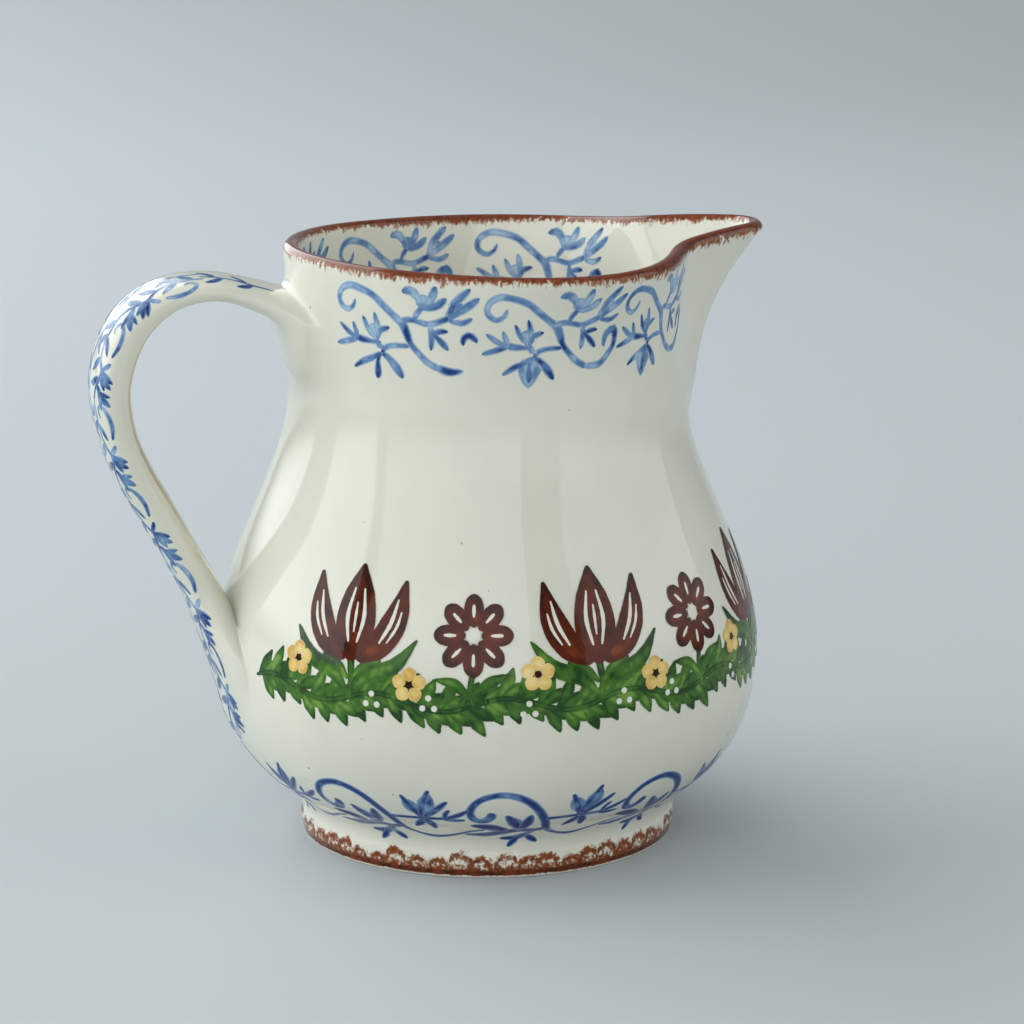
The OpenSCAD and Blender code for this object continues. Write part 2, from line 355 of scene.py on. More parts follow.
rings = ring_table()
angles = column_angles(COLUMNS)
jug, places = add_sheet("glazed_jug", COLUMNS, len(rings) - 1)
column = np.round(places[:, 0]*COLUMNS).astype(int)
ring = np.round(places[:, 1]*(len(rings) - 1)).astype(int)
turn = angles[column]
r, z, inset_r, inset_z, radius_share, from_crest = rings[ring].T
at = wall_point(turn, r, z, inset_r, inset_z)
at[:, :2] *= radius_share[:, None]
set_points(jug, at*MM)
add_number(jug, "from_crest", from_crest)
print("glazed_jug:", len(jug.data.polygons), "faces")

# %% [markdown]
# The brown edge of the lip was dabbed on with a sponge, so its width wanders: narrow round most
# of the mouth, wide where the lip turns into the beak. Each point of the sheet stores how deep
# it lies inside that band, in millimetres, and the glaze's material turns that into sponged
# colour.

# %% How wide the brown band is, outside and inside
BAND_OUT = 3.1
BAND_IN = 3.2
BAND_AT_SHOULDER = 1.5
SHOULDER_TURN = 42
SHOULDER_SPREAD = 18
BAND_AT_BEAK = 0.9
BAND_WANDER_OUT = 0.25
BAND_WANDER_IN = 0.5
BAND_LOST_IN_BEAK = 1.2
BEAK_INSIDE_SPREAD = 14
THIN_ON_CREST = 0.5
CREST_SPREAD = 1.6
NO_BROWN = -6

outside_band = BAND_OUT + BAND_AT_SHOULDER*np.exp(-((np.abs(turn) - SHOULDER_TURN)/SHOULDER_SPREAD)**2)
outside_band += BAND_WANDER_OUT*np.sin(np.radians(5*turn))
outside_band += BAND_AT_BEAK*share(rim_lift(turn), 2, BEAK_RISE)
inside_band = BAND_IN + BAND_WANDER_IN*np.sin(np.radians(4*turn + 60))
inside_band -= BAND_LOST_IN_BEAK*np.exp(-(turn/BEAK_INSIDE_SPREAD)**2)
depth = np.where(from_crest > 0, outside_band - from_crest, inside_band + from_crest)
add_number(jug, "in_brown", np.clip(depth, NO_BROWN, -NO_BROWN))
add_number(jug, "thin_glaze", THIN_ON_CREST*np.exp(-(from_crest/CREST_SPREAD)**2))
merge_seams(jug)
print(f"brown band: {outside_band.min():.1f} to {outside_band.max():.1f} mm outside")

# %% [markdown]
# ## The foot ring
# The foot is a coil of clay trimmed square and smeared into the underside, which leaves a
# small cove. By hand it is a section outline spun round the axis: a circle is added, its
# points are moved on to the section, and the Spin tool carries it round.

# %% The foot's section, spun
FOOT_EDGE = 1.0
FOOT_BULGE = 0.5
SPIN_STEPS = 600
SIDE_ROWS = 22
COVE_ROWS = 13
EDGE_TURNS = (0, 22.5, 45, 67.5, 90)
SUNK = 0.07
PAST_COVE = 1.2


def foot_section():
    """The section's outline: bottom edge, side, cove, a part hidden in the belly, inner edge."""
    cove = bezier(COVE_ARC, np.linspace(0, 1, COVE_ROWS))[0]
    past = clay_at(COVE_ALONG + PAST_COVE)
    turn = np.radians(EDGE_TURNS)
    outer_edge = [(FOOT_R - FOOT_EDGE + FOOT_EDGE*math.sin(t), FOOT_EDGE - FOOT_EDGE*math.cos(t))
                  for t in turn]
    inner_edge = [(FOOT_R - FOOT_W + FOOT_EDGE - FOOT_EDGE*math.sin(t),
                   FOOT_EDGE - FOOT_EDGE*math.cos(t)) for t in turn[::-1]]
    side = [(FOOT_R + FOOT_BULGE*math.sin(math.pi*f), FOOT_EDGE + (FOOT_H - COVE_RISE - FOOT_EDGE)*f)
            for f in np.arange(1, SIDE_ROWS)/SIDE_ROWS]
    hidden = [(past[0] - SUNK, past[1] + SUNK), (past[0] - 1.4, past[1]), (FOOT_R - 1, FOOT_H + 1.2),
              (FOOT_R - FOOT_W, FOOT_H + 0.4)]
    return outer_edge + side + [tuple(p) for p in cove] + hidden + inner_edge


section = foot_section()
deselect_all()
bpy.ops.mesh.primitive_circle_add(vertices=len(section), radius=FOOT_R*MM, fill_type="NOTHING")
foot = bpy.context.object
foot.name = "glazed_foot"
foot.data.name = "glazed_foot"
set_points(foot, [(r*MM, 0, z*MM) for r, z in section])
bpy.ops.object.mode_set(mode="EDIT")
bpy.ops.mesh.select_all(action="SELECT")
bpy.ops.mesh.spin(steps=SPIN_STEPS, angle=2*math.pi, center=(0, 0, 0), axis=(0, 0, 1))
bpy.ops.object.mode_set(mode="OBJECT")
merge_seams(foot, gap=0.005)
print("glazed_foot:", len(foot.data.polygons), "faces")

# %% [markdown]
# ## The handle
# A pulled strap: thin on top, thicker down the back, flared where thumb and water smeared it
# on to the pot. Its line is a row of stations, given as shares of the handle's reach,
# height, width and thickness, and a smooth curve runs through them. The last share, hug, says
# how far the strap's edges bend round the pot. By hand it would be a curve with a bevel, but a
# strap whose section changes all the way is easier to wrap from a sheet, as the wall was.

# %% Stations of the strap: out, up, half width, outer and inner thickness, hug
UPPER_STATIONS = [
    (-0.160, 0.942, 0.84, 0.40, 2.80, 1.0), (-0.045, 0.946, 0.78, 0.38, 2.30, 1.0),
    (0.060, 0.956, 0.66, 0.36, 0.75, 0.6), (0.210, 0.976, 0.545, 0.36, 0.42, 0.2),
    (0.386, 0.995, 0.505, 0.36, 0.36, 0), (0.581, 0.981, 0.50, 0.46, 0.40, 0),
    (0.745, 0.933, 0.50, 0.53, 0.54, 0), (0.852, 0.857, 0.50, 0.57, 0.61, 0),
    (0.910, 0.743, 0.50, 0.55, 0.62, 0), (0.881, 0.624, 0.49, 0.52, 0.58, 0),
    (0.811, 0.521, 0.49, 0.53, 0.60, 0)]
LOWER_STATIONS = [
    (0.514, 0.413, 0.49, 0.53, 0.60, 0), (0.311, 0.294, 0.50, 0.53, 0.57, 0),
    (0.165, 0.196, 0.54, 0.51, 0.62, 0.2), (0.076, 0.108, 0.68, 0.46, 0.70, 0.6),
    (0.000, 0.015, 0.92, 0.40, 0.40, 1.0), (-0.054, -0.077, 0.96, 0.28, 0.25, 1.0),
    (-0.130, -0.160, 0.78, 0.30, 0.20, 1.0), (-0.210, -0.222, 0.44, 0.17, 0.15, 1.0),
    (-0.300, -0.268, 0.16, 0.10, 0.10, 1.0)]
SECTION_FULLNESS = 0.78
LOOK_ALONG = 0.15


def station_row(shares, anchor_r):
    """A station's shares turned to millimetres. The strap's reach is counted from the pot's wall."""
    out, up, half_width, outer, inner, hug = shares
    return [anchor_r + out*(HANDLE_REACH - anchor_r), BELLY_Z + up*(HANDLE_Z - BELLY_Z),
            half_width*HANDLE_W, outer*HANDLE_T, inner*HANDLE_T, hug/(2*anchor_r)]


strap_rows = np.array([station_row(s, NECK_R) for s in UPPER_STATIONS]
                      + [station_row(s, BELLY_R) for s in LOWER_STATIONS])


def strap_row(t):
    """The strap's sizes at place t, on a smooth curve through the stations."""
    t = np.clip(np.asarray(t, float), 0, len(strap_rows) - 1.001)
    k = np.floor(t).astype(int)
    f = (t - k)[..., None]
    a, b, c, d = (strap_rows[np.clip(k + n, 0, len(strap_rows) - 1)] for n in (-1, 0, 1, 2))
    return 0.5*(2*b + (c - a)*f + (2*a - 5*b + 4*c - d)*f**2 + (3*b - a - 3*c + d)*f**3)


def on_strap(t, turn):
    """Point of the strap at place t, and at a turn round its section (90 is the outer face)."""
    size = strap_row(t)
    ahead, back = strap_row(t + LOOK_ALONG), strap_row(t - LOOK_ALONG)
    run = np.stack([back[..., 0] - ahead[..., 0], ahead[..., 1] - back[..., 1]], -1)
    run /= np.linalg.norm(run, axis=-1)[..., None]
    out_x, out_z = run[..., 1], -run[..., 0]
    c, s = np.cos(np.radians(turn)), np.sin(np.radians(turn))
    across = size[..., 2]*np.sign(c)*np.abs(c)**SECTION_FULLNESS
    thick = np.where(s > 0, size[..., 3], size[..., 4])
    rise = np.sign(s)*np.abs(s)**SECTION_FULLNESS*thick - size[..., 5]*across**2
    return np.stack([-size[..., 0] + rise*out_x, across, size[..., 1] + rise*out_z], -1)


print("strap stations:", len(strap_rows))

# %% [markdown]
# ### Smearing the strap on to the pot
# Where strap and pot meet there is no crease but a smooth web of clay. Each line along the
# strap is followed until it dives into the wall. There a short Bezier takes over: it leaves
# the strap along the strap, and lands on the wall along the wall, so both joins stay smooth.


# %% Where each line of the strap meets the wall, and the web of clay there
def wall_gap(point):
    """How far a point stands out of the wall, measured from the axis."""
    angle = np.degrees(np.arctan2(point[..., 1], point[..., 0]))
    lift = rim_lift(angle)*share(point[..., 2], NECK_Z, LIP_BASE_Z)**2
    surface = on_wall(angle, np.interp(point[..., 2] - lift, LINE[:, 1], ALONG))
    return np.hypot(point[..., 0], point[..., 1]) - np.hypot(surface[..., 0], surface[..., 1])


def dive_place(turn, inner_end, outer_end):
    """The place t, between a buried and a free end, where the line at this turn meets the wall."""
    low, high = inner_end, outer_end
    for _ in range(DIVE_HALVINGS):
        middle = (low + high)/2
        if wall_gap(on_strap(np.array(middle), turn)) < 0:
            low = middle
        else:
            high = middle
    return (low + high)/2


def near_wall(point):
    """The wall's angle and place along the outline next to a point."""
    angle = math.degrees(math.atan2(point[1], point[0]))
    return angle, float(np.interp(point[2], LINE[:, 1], ALONG))


def web_of_clay(strap_point, meeting, centre, reach):
    """Points from the strap to the wall, and two sunk in it, so that no gap shows."""
    angle, along = near_wall(meeting)
    turned = (angle - centre[0] + 180) % 360 - 180
    away = np.array([math.radians(turned)*NECK_R, along - centre[1]])
    away /= np.linalg.norm(away)
    around = math.degrees(away[0]/math.hypot(meeting[0], meeting[1]))
    spots = np.array([[angle + around*(reach + d), along + away[1]*(reach + d)] for d in SUNK_AT])
    land, past, end = on_wall(spots[:, 0], spots[:, 1])
    side = wall_side(spots[:1, 0], spots[:1, 1])[0]
    steps = np.linspace(0, 1, WEB_STEPS + 1)[1:, None]
    web = (1 - steps)**2*strap_point + 2*(1 - steps)*steps*meeting + steps**2*(land + WEB_LIFT*side)
    return np.vstack([web, past - SUNK*side, end - SUNK_END*side])


DIVE_HALVINGS = 40
LINE_SAMPLES = 1500
WEB_STEPS = 8
WEB_LIFT = 0.01
SUNK_AT = (0, 0.9, 1.4)
SUNK_END = 0.9
UPPER_FREE_PLACE = 3.6
LOWER_FREE_PLACE = 14.2
UPPER_WEB = 3.6
UPPER_WEB_SWING = 1.2
LOWER_WEB = 2.6
LOWER_WEB_SWING = 1.6
STRAP_RINGS = 150
SECTION_POINTS = 56
UPPER_ROOT = (180.0, along_at(134))
LOWER_ROOT = (180.0, along_at(45))
LAST_PLACE = len(strap_rows) - 1.01


def strap_line(turn):
    """One line along the strap, from its web on the neck to its web on the belly."""
    upper = dive_place(turn, 0.0, UPPER_FREE_PLACE)
    lower = dive_place(turn, LAST_PLACE, LOWER_FREE_PLACE)
    upper_meet, lower_meet = (on_strap(np.array(t), turn) for t in (upper, lower))
    inner_side = math.sin(math.radians(-turn))
    upper_reach = UPPER_WEB + UPPER_WEB_SWING*inner_side
    lower_reach = LOWER_WEB + LOWER_WEB_SWING*max(0, inner_side)
    fine = np.linspace(upper, lower, LINE_SAMPLES)
    line = on_strap(fine, np.full(len(fine), turn))
    length = np.concatenate([[0], np.cumsum(np.linalg.norm(np.diff(line, axis=0), axis=1))])
    keep = np.linspace(upper_reach, length[-1] - lower_reach, STRAP_RINGS)
    place = np.interp(keep, length, fine)
    free = on_strap(place, np.full(len(place), turn))
    top = web_of_clay(free[0], upper_meet, UPPER_ROOT, upper_reach)[::-1]
    bottom = web_of_clay(free[-1], lower_meet, LOWER_ROOT, lower_reach)
    return np.vstack([top, free, bottom])


section_turns = np.linspace(-180, 180, SECTION_POINTS + 1)
strap_lines = np.array([strap_line(turn) for turn in section_turns[:-1]])
strap_lines = np.concatenate([strap_lines, strap_lines[:1]])
print("strap lines:", strap_lines.shape)

# %% [markdown]
# The strap's lines are the columns of a sheet, and each end of it closes in a point that is
# buried in the clay. The glaze runs thin on the strap's two inner edges, and each point
# stores by how much.

# %% The handle's sheet
THIN_EDGES = (-130, -50)
THIN_EDGE_SPREAD = 10
THIN_EDGE_SHARE = 0.9
THIN_STARTS = (20, 50)
THIN_ENDS = (125, 155)

line_points = strap_lines.shape[1]
handle, places = add_sheet("glazed_handle", SECTION_POINTS, line_points + 1)
column = np.round(places[:, 0]*SECTION_POINTS).astype(int)
ring = np.round(places[:, 1]*(line_points + 1)).astype(int) - 1
inner_ring = np.clip(ring, 0, line_points - 1)
at = strap_lines[column, inner_ring]
upper_centre = np.mean(strap_lines[:-1, 0], axis=0)
lower_centre = np.mean(strap_lines[:-1, -1], axis=0)
at = np.where((ring < 0)[:, None], upper_centre, at)
at = np.where((ring >= line_points)[:, None], lower_centre, at)
set_points(handle, at*MM)
thin = sum(np.exp(-((section_turns[column] - edge)/THIN_EDGE_SPREAD)**2) for edge in THIN_EDGES)
free_share = np.minimum(share(ring, *THIN_STARTS), 1 - share(ring, *THIN_ENDS))
add_number(handle, "thin_glaze", THIN_EDGE_SHARE*thin*free_share)
add_number(handle, "from_crest", np.full(len(at), FAR_FROM_CREST))
add_number(handle, "in_brown", np.full(len(at), NO_BROWN))
merge_seams(handle)
print("glazed_handle:", len(handle.data.polygons), "faces")

# %% [markdown]
# ## The glaze
# A thin clear glaze over a cream slip: the slip gives a warm, slightly mottled white, and the
# glaze lies over it as a second, glassy coat. A Principled shader holds both, the slip as its
# base and the glaze as its coat. The constants sit on the shader's own sockets.


# %% Small helpers for shader nodes
def tone(red, green, blue):
    """A colour as it looks on the pot, 0 to 255, turned to the shader's linear values."""
    shares = [c/255 for c in (red, green, blue)]
    return [c/12.92 if c <= 0.04045 else ((c + 0.055)/1.055)**2.4 for c in shares] + [1.0]


GLASS_IOR = 1.46
SLIP_ROUGHNESS = 0.42
GLASS_ROUGHNESS = 0.045
SLIP_SHINE = 0.02
SWELL_GRAIN = 32
SWELL_DEPTH = 1.2
SWELL_STRENGTH = 0.35


def new_finish(name, coat=1.0):
    """A material with a matt base under a glassy coat, its node tree and its shader."""
    finish = bpy.data.materials.new(name)
    finish.use_nodes = True
    shader = finish.node_tree.nodes["Principled BSDF"]
    shader.inputs["Roughness"].default_value = SLIP_ROUGHNESS
    shader.inputs["Coat Weight"].default_value = coat
    shader.inputs["Coat Roughness"].default_value = GLASS_ROUGHNESS
    shader.inputs["Coat IOR"].default_value = GLASS_IOR
    shader.inputs["Specular IOR Level"].default_value = SLIP_SHINE
    return finish, finish.node_tree, shader


def join(tree, source, target):
    tree.links.new(source, target)


def place_in_clay(tree):
    """Object coordinates, so that a pattern stays put in the clay."""
    return tree.nodes.new("ShaderNodeTexCoord").outputs["Object"]


def clouds(tree, where, scale, detail=3, roughness=0.55):
    noise = tree.nodes.new("ShaderNodeTexNoise")
    noise.inputs["Scale"].default_value = scale
    noise.inputs["Detail"].default_value = detail
    noise.inputs["Roughness"].default_value = roughness
    join(tree, where, noise.inputs["Vector"])
    return noise.outputs["Fac"]


def step_between(tree, value, low, high, to_low=0, to_high=1):
    """A smooth step from to_low to to_high, as the value climbs from low to high."""
    step = tree.nodes.new("ShaderNodeMapRange")
    step.interpolation_type = "SMOOTHSTEP"
    for socket, number in zip(("From Min", "From Max", "To Min", "To Max"), (low, high, to_low, to_high)):
        step.inputs[socket].default_value = number
    join(tree, value, step.inputs["Value"])
    return step.outputs["Result"]


def sum_of(tree, how, a, b):
    """One Math node: a and b are sockets or numbers."""
    node = tree.nodes.new("ShaderNodeMath")
    node.operation = how
    for socket, value in zip(node.inputs, (a, b)):
        if isinstance(value, (int, float)):
            socket.default_value = value
        else:
            join(tree, value, socket)
    return node.outputs["Value"]


def blend_of(tree, share_socket, low, high):
    """Mixes two colours, each a list or a socket."""
    node = tree.nodes.new("ShaderNodeMix")
    node.data_type = "RGBA"
    join(tree, share_socket, node.inputs["Factor"])
    for socket, value in ((node.inputs[6], low), (node.inputs[7], high)):
        if isinstance(value, list):
            socket.default_value = value
        else:
            join(tree, value, socket)
    return node.outputs[2]


def number_of(tree, name):
    """A number that the mesh stores for each point."""
    node = tree.nodes.new("ShaderNodeAttribute")
    node.attribute_name = name
    return node.outputs["Fac"]


def wavy_glaze(tree, shader):
    """The glaze surface lies in very shallow waves, which soften the reflections' edges."""
    swell = clouds(tree, place_in_clay(tree), SWELL_GRAIN, detail=1)
    bump = tree.nodes.new("ShaderNodeBump")
    bump.inputs["Strength"].default_value = SWELL_STRENGTH
    bump.inputs["Distance"].default_value = SWELL_DEPTH*MM
    join(tree, swell, bump.inputs["Height"])
    join(tree, bump.outputs["Normal"], shader.inputs["Normal"])
    join(tree, bump.outputs["Normal"], shader.inputs["Coat Normal"])


# %% [markdown]
# ### Cream slip, sponged brown and the odd speck
# The brown is dabbed with a dry sponge, so its border is ragged and its tone uneven. The
# stored depth inside the band is shaken with stretched noise, which gives the ragged border.
# On the crest of the lip the glaze runs thin and the brown turns to orange, and so does the
# cream there to tan.


# %% The glaze over the slip
CREAM = tone(222, 222, 207)
CREAM_SHADE = tone(214, 215, 200)
TAN = tone(184, 160, 118)
SPECK = tone(112, 84, 62)
BROWN_DARK = tone(54, 17, 2)
BROWN = tone(116, 47, 6)
BROWN_FAINT = tone(158, 92, 44)
BROWN_CREST = tone(124, 48, 8)
MOTTLE_GRAIN = 22
THIN_GRAIN = 210
SPECK_GRAIN = 800
SPECK_CLUSTERS = 60
SPONGE_GRAIN = 420
STREAK_GRAIN = 1150
STREAK_STEP = 0.35


def shaken(tree, noise, width):
    """Noise turned to a shift to either side of zero."""
    return sum_of(tree, "MULTIPLY", sum_of(tree, "SUBTRACT", noise, 0.5), width)


def rim_streaks(tree):
    """Fine noise drawn out across the rim: it changes along the rim, and hardly with depth."""
    parts = tree.nodes.new("ShaderNodeSeparateXYZ")
    streaked = tree.nodes.new("ShaderNodeCombineXYZ")
    join(tree, place_in_clay(tree), parts.inputs["Vector"])
    join(tree, parts.outputs["X"], streaked.inputs["X"])
    join(tree, parts.outputs["Y"], streaked.inputs["Y"])
    drawn_out = sum_of(tree, "MULTIPLY", number_of(tree, "from_crest"), STREAK_STEP*MM)
    join(tree, drawn_out, streaked.inputs["Z"])
    return clouds(tree, streaked.outputs["Vector"], STREAK_GRAIN, detail=2)


def slip_colour(tree, where):
    """Mottled cream, tan where the glaze is thin, and a few iron specks."""
    mottle = clouds(tree, where, MOTTLE_GRAIN, detail=4)
    cream = blend_of(tree, step_between(tree, mottle, 0.35, 0.68), CREAM, CREAM_SHADE)
    thin = clouds(tree, where, THIN_GRAIN, detail=2)
    tan_share = sum_of(tree, "MULTIPLY", number_of(tree, "thin_glaze"), step_between(tree, thin, 0.1, 0.5))
    cream = blend_of(tree, tan_share, cream, TAN)
    speckle = clouds(tree, where, SPECK_GRAIN, detail=0)
    rare = clouds(tree, where, SPECK_CLUSTERS, detail=1)
    speck_share = sum_of(tree, "MULTIPLY", step_between(tree, speckle, 0.85, 0.89),
                         step_between(tree, rare, 0.56, 0.62))
    return blend_of(tree, speck_share, cream, SPECK)


def cream_glaze(name):
    finish, tree, shader = new_finish(name)
    where = place_in_clay(tree)
    cream = slip_colour(tree, where)
    patch = clouds(tree, where, SPONGE_GRAIN, detail=3, roughness=0.7)
    shake = sum_of(tree, "ADD", shaken(tree, rim_streaks(tree), 4.2), shaken(tree, patch, 3.6))
    brown_depth = sum_of(tree, "ADD", number_of(tree, "in_brown"), shake)
    brown = blend_of(tree, step_between(tree, patch, 0.38, 0.64), BROWN_DARK, BROWN)
    brown = blend_of(tree, step_between(tree, brown_depth, 0.3, 2.4, 0.6, 0), brown, BROWN_FAINT)
    crest = sum_of(tree, "ABSOLUTE", number_of(tree, "from_crest"), 0)
    crest_share = step_between(tree, sum_of(tree, "ADD", crest, shake), 0.1, 1.7, 0.75, 0)
    brown = blend_of(tree, crest_share, brown, BROWN_CREST)
    brown_share = step_between(tree, brown_depth, -0.4, 0.9)
    join(tree, blend_of(tree, brown_share, cream, brown), shader.inputs["Base Color"])
    wavy_glaze(tree, shader)
    return finish


glaze = cream_glaze("cream_glaze_over_slip")
print("glaze nodes:", len(glaze.node_tree.nodes))

# %% [markdown]
# ### Dabs of the sponge round the foot
# The foot's brown is a plain band along the bottom edge with round dabs above it, side by side.
# A small sponge leaves most colour at the border of each dab, and the very edge that stands on
# the kiln shelf is wiped bare. The dabs could be painted into an image, but a formula needs
# none: it gives each point of the foot its depth in the brown.

# %% The foot's dabs, and the glaze put on jug, foot and handle
DABS = 54
DAB_SIZES = (1.5, 2.7)
DAB_SHIFT = 0.12
DAB_ROUNDNESS = 0.85
DAB_START_Z = 1.5
BAND_TOP_Z = 2.9
BARE_EDGE_Z = 0.75
DAB_INNER_Z = 2.3
DAB_RISE_SHARE = 0.7
DAB_EDGE = 1.5
DAB_FILL = 1.0
DAB_FADE = 0.5
OFF_DAB = -2.0
BAND_STRENGTH = 2.2
BARE_STRENGTH = 6
FOOT_FACE = 1.5


def foot_brown(at):
    """How deep each point of the foot lies in the sponged brown."""
    random.seed(3)
    sizes = np.array([random.uniform(*DAB_SIZES) for _ in range(DABS)])
    shifts = np.array([random.uniform(-DAB_SHIFT, DAB_SHIFT) for _ in range(DABS)])
    z = at[:, 2]
    turned = (np.degrees(np.arctan2(at[:, 1], at[:, 0])) + 180)/360*DABS
    dab = np.floor(turned).astype(int) % DABS
    off_middle = (turned - np.floor(turned) - 0.5 - shifts[dab])*math.radians(360/DABS)*FOOT_R
    from_middle = np.hypot(off_middle*DAB_ROUNDNESS, z - DAB_START_Z - DAB_RISE_SHARE*sizes[dab])
    edge_of_dab = DAB_EDGE - DAB_EDGE*np.abs(from_middle - sizes[dab])
    inside_dab = np.where(from_middle < sizes[dab], DAB_FILL - DAB_FADE*(z - DAB_INNER_Z), OFF_DAB)
    sponged = np.maximum(np.maximum(edge_of_dab, inside_dab), BAND_STRENGTH*(BAND_TOP_Z - z))
    sponged = np.minimum(sponged, BARE_STRENGTH*(z - BARE_EDGE_Z))
    outside = np.hypot(at[:, 0], at[:, 1]) > FOOT_R - FOOT_FACE
    return np.where(outside, sponged, NO_BROWN)


foot_at = points_of(foot)/MM
add_number(foot, "in_brown", foot_brown(foot_at))
add_number(foot, "from_crest", FAR_FROM_CREST + foot_at[:, 2]/STREAK_STEP)
add_number(foot, "thin_glaze", np.zeros(len(foot_at)))
for piece, nodes in ((jug, ["body", "pouring_lip"]), (foot, ["foot_ring"]), (handle, ["handle"])):
    piece.data.materials.clear()
    piece.data.materials.append(glaze)
    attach(piece, "root")
    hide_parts(*nodes)
print("sponge dabs:", DABS)

# %% [markdown]
# ## Brush strokes
# The painting is done with a soft brush under the clear glaze. A stroke is wide where the
# brush is pressed and thin where it lifts, and the colour runs to its borders and pools there.
# Each stroke is a narrow grid drawn along a smooth curve through a few knots, and every knot
# has its width. Under each blue stroke lies a wider, paler one, where the wet colour bled into
# the slip. All is laid out flat first, as on a paper pattern, then wrapped on the clay.

# %% Drawing one stroke on the flat pattern
random.seed(7)
STROKE_CELLS = 4
LAYER_STEP = 0.0025
TIP_SHARES = (0.03, 0.13, 0.35, 0.7)
CORE_SPACING = 0.75
BLEED_SPACING = 1.0
BRUSH_WOBBLE = 0.05
LIFT_LOAD = 0.42
CURVE_STEPS = 20
LONGEST_TIP = 0.45
LEAST_WIDTH = 0.15
LEAST_TIP = 0.02


def smooth_line(knots, spacing):
    """Points, sides and widths along a smooth curve, with rounded tips."""
    knots = np.array(knots, float)
    ends = np.vstack([2*knots[0] - knots[1], knots, 2*knots[-1] - knots[-2]])
    f = np.linspace(0, 1, CURVE_STEPS, endpoint=False)[:, None]
    spans = []
    for k in range(len(knots) - 1):
        a, b, c, d = ends[k:k + 4]
        spans.append(0.5*(2*b + (c - a)*f + (2*a - 5*b + 4*c - d)*f**2 + (3*b - a - 3*c + d)*f**3))
    fine = np.vstack(spans + [knots[-1:]])
    length = np.concatenate([[0], np.cumsum(np.linalg.norm(np.diff(fine[:, :2], axis=0), axis=1))])
    first, last = (min(w/2, LONGEST_TIP*length[-1]) for w in (knots[0, 2], knots[-1, 2]))
    count = max(2, int(round((length[-1] - first - last)/spacing)))
    tip = np.array(TIP_SHARES)
    middle = np.linspace(first, length[-1] - last, count + 1)
    marks = np.concatenate([[0], first*tip, middle, length[-1] - last*tip[::-1], [length[-1]]])
    line = np.stack([np.interp(marks, length, fine[:, k]) for k in range(3)], 1)
    to_tip = np.minimum(np.minimum(marks/first, (length[-1] - marks)/last), 1)
    rounding = np.sqrt(np.maximum(1 - (1 - to_tip)**2, LEAST_TIP))
    width = np.maximum(line[:, 2], LEAST_WIDTH)*rounding
    run = np.gradient(line[:, :2], marks, axis=0)
    run /= np.linalg.norm(run, axis=1)[:, None]
    to_end = np.minimum(marks, length[-1] - marks)
    return line[:, :2], np.stack([-run[:, 1], run[:, 0]], 1), width, marks/length[-1], to_end


def lay_stroke(load, knots, layer, bleed=0.0):
    """One stroke as a flat strip. With a bleed it is the wide pale stroke that lies beneath."""
    knots = [(u, v, w + bleed) for u, v, w in knots]
    spacing = BLEED_SPACING if bleed else CORE_SPACING
    line, side, width, share_along, to_end = smooth_line(knots, spacing)
    stroke, places = add_sheet("stroke", len(line) - 1, STROKE_CELLS)
    k = np.round(places[:, 0]*(len(line) - 1)).astype(int)
    across = 2*places[:, 1] - 1
    if bleed:
        core = np.clip(1 - bleed/width[k], 0.05, 1)
        across = np.where(np.abs(across) == 0.5, np.sign(across)*core, across)
        edge = np.maximum(np.abs(across) == 1, np.clip(1 - to_end[k]/(bleed/2), 0, 1))
    else:
        edge = np.maximum(np.abs(across), np.clip(1 - 2*to_end[k]/width.max(), 0, 1))
    wobble = np.array([random.uniform(-BRUSH_WOBBLE, BRUSH_WOBBLE) for _ in line])
    flat = line[k] + side[k]*(across*(width[k]/2 + wobble[k]))[:, None]
    set_points(stroke, np.column_stack([flat, np.full(len(flat), LAYER_STEP*layer)])*MM)
    add_number(stroke, "load", load + LIFT_LOAD*share_along[k]**3)
    add_number(stroke, "edge", edge)
    add_number(stroke, "bleed", np.full(len(k), float(bleed > 0)))
    return stroke


def join_all(pieces, name):
    deselect_all()
    for piece in pieces:
        piece.select_set(True)
    bpy.context.view_layer.objects.active = pieces[0]
    if len(pieces) > 1:
        bpy.ops.object.join()
    whole = bpy.context.view_layer.objects.active
    whole.name = name
    whole.data.name = name
    return whole


def paint_pattern(name, strokes, first_layer=0, press=1.0, bleed=1.15, more=0.0):
    """A flat pattern of strokes, each (load, knots), all pressed wider and loaded by as much."""
    strokes = [(load + more, [(u, v, press*w) for u, v, w in knots]) for load, knots in strokes]
    sheets = [lay_stroke(load, knots, first_layer, bleed) for load, knots in strokes if bleed]
    sheets += [lay_stroke(load, knots, first_layer + 2 + n) for n, (load, knots) in enumerate(strokes)]
    return join_all(sheets, name)


# %% [markdown]
# ### Wrapping a pattern on the clay
# The transfer of a pattern is the same job as with real transfer paper: it is laid out flat,
# and then rubbed down on the curved wall, copy beside copy. Solidify gives the paint its
# thickness, a tenth of a millimetre, inwards from its face, so the painting stays nearly flush
# with the clay.

# %% Copies of a pattern on the wall, and their thickness
PAINT_T = 0.1
PAINT_LIFT = 0.02
SMOOTH_BELOW = math.radians(40)


def wrap_copy(pattern, place):
    """A copy of the flat pattern, with its own mesh, laid on the clay by the given placing."""
    copy = pattern.copy()
    copy.data = pattern.data.copy()
    bpy.context.scene.collection.objects.link(copy)
    flat = points_of(copy)/MM
    at, side = place(flat[:, 0], flat[:, 1])
    set_points(copy, (at + side*(PAINT_LIFT + flat[:, 2:3]))*MM)
    return copy


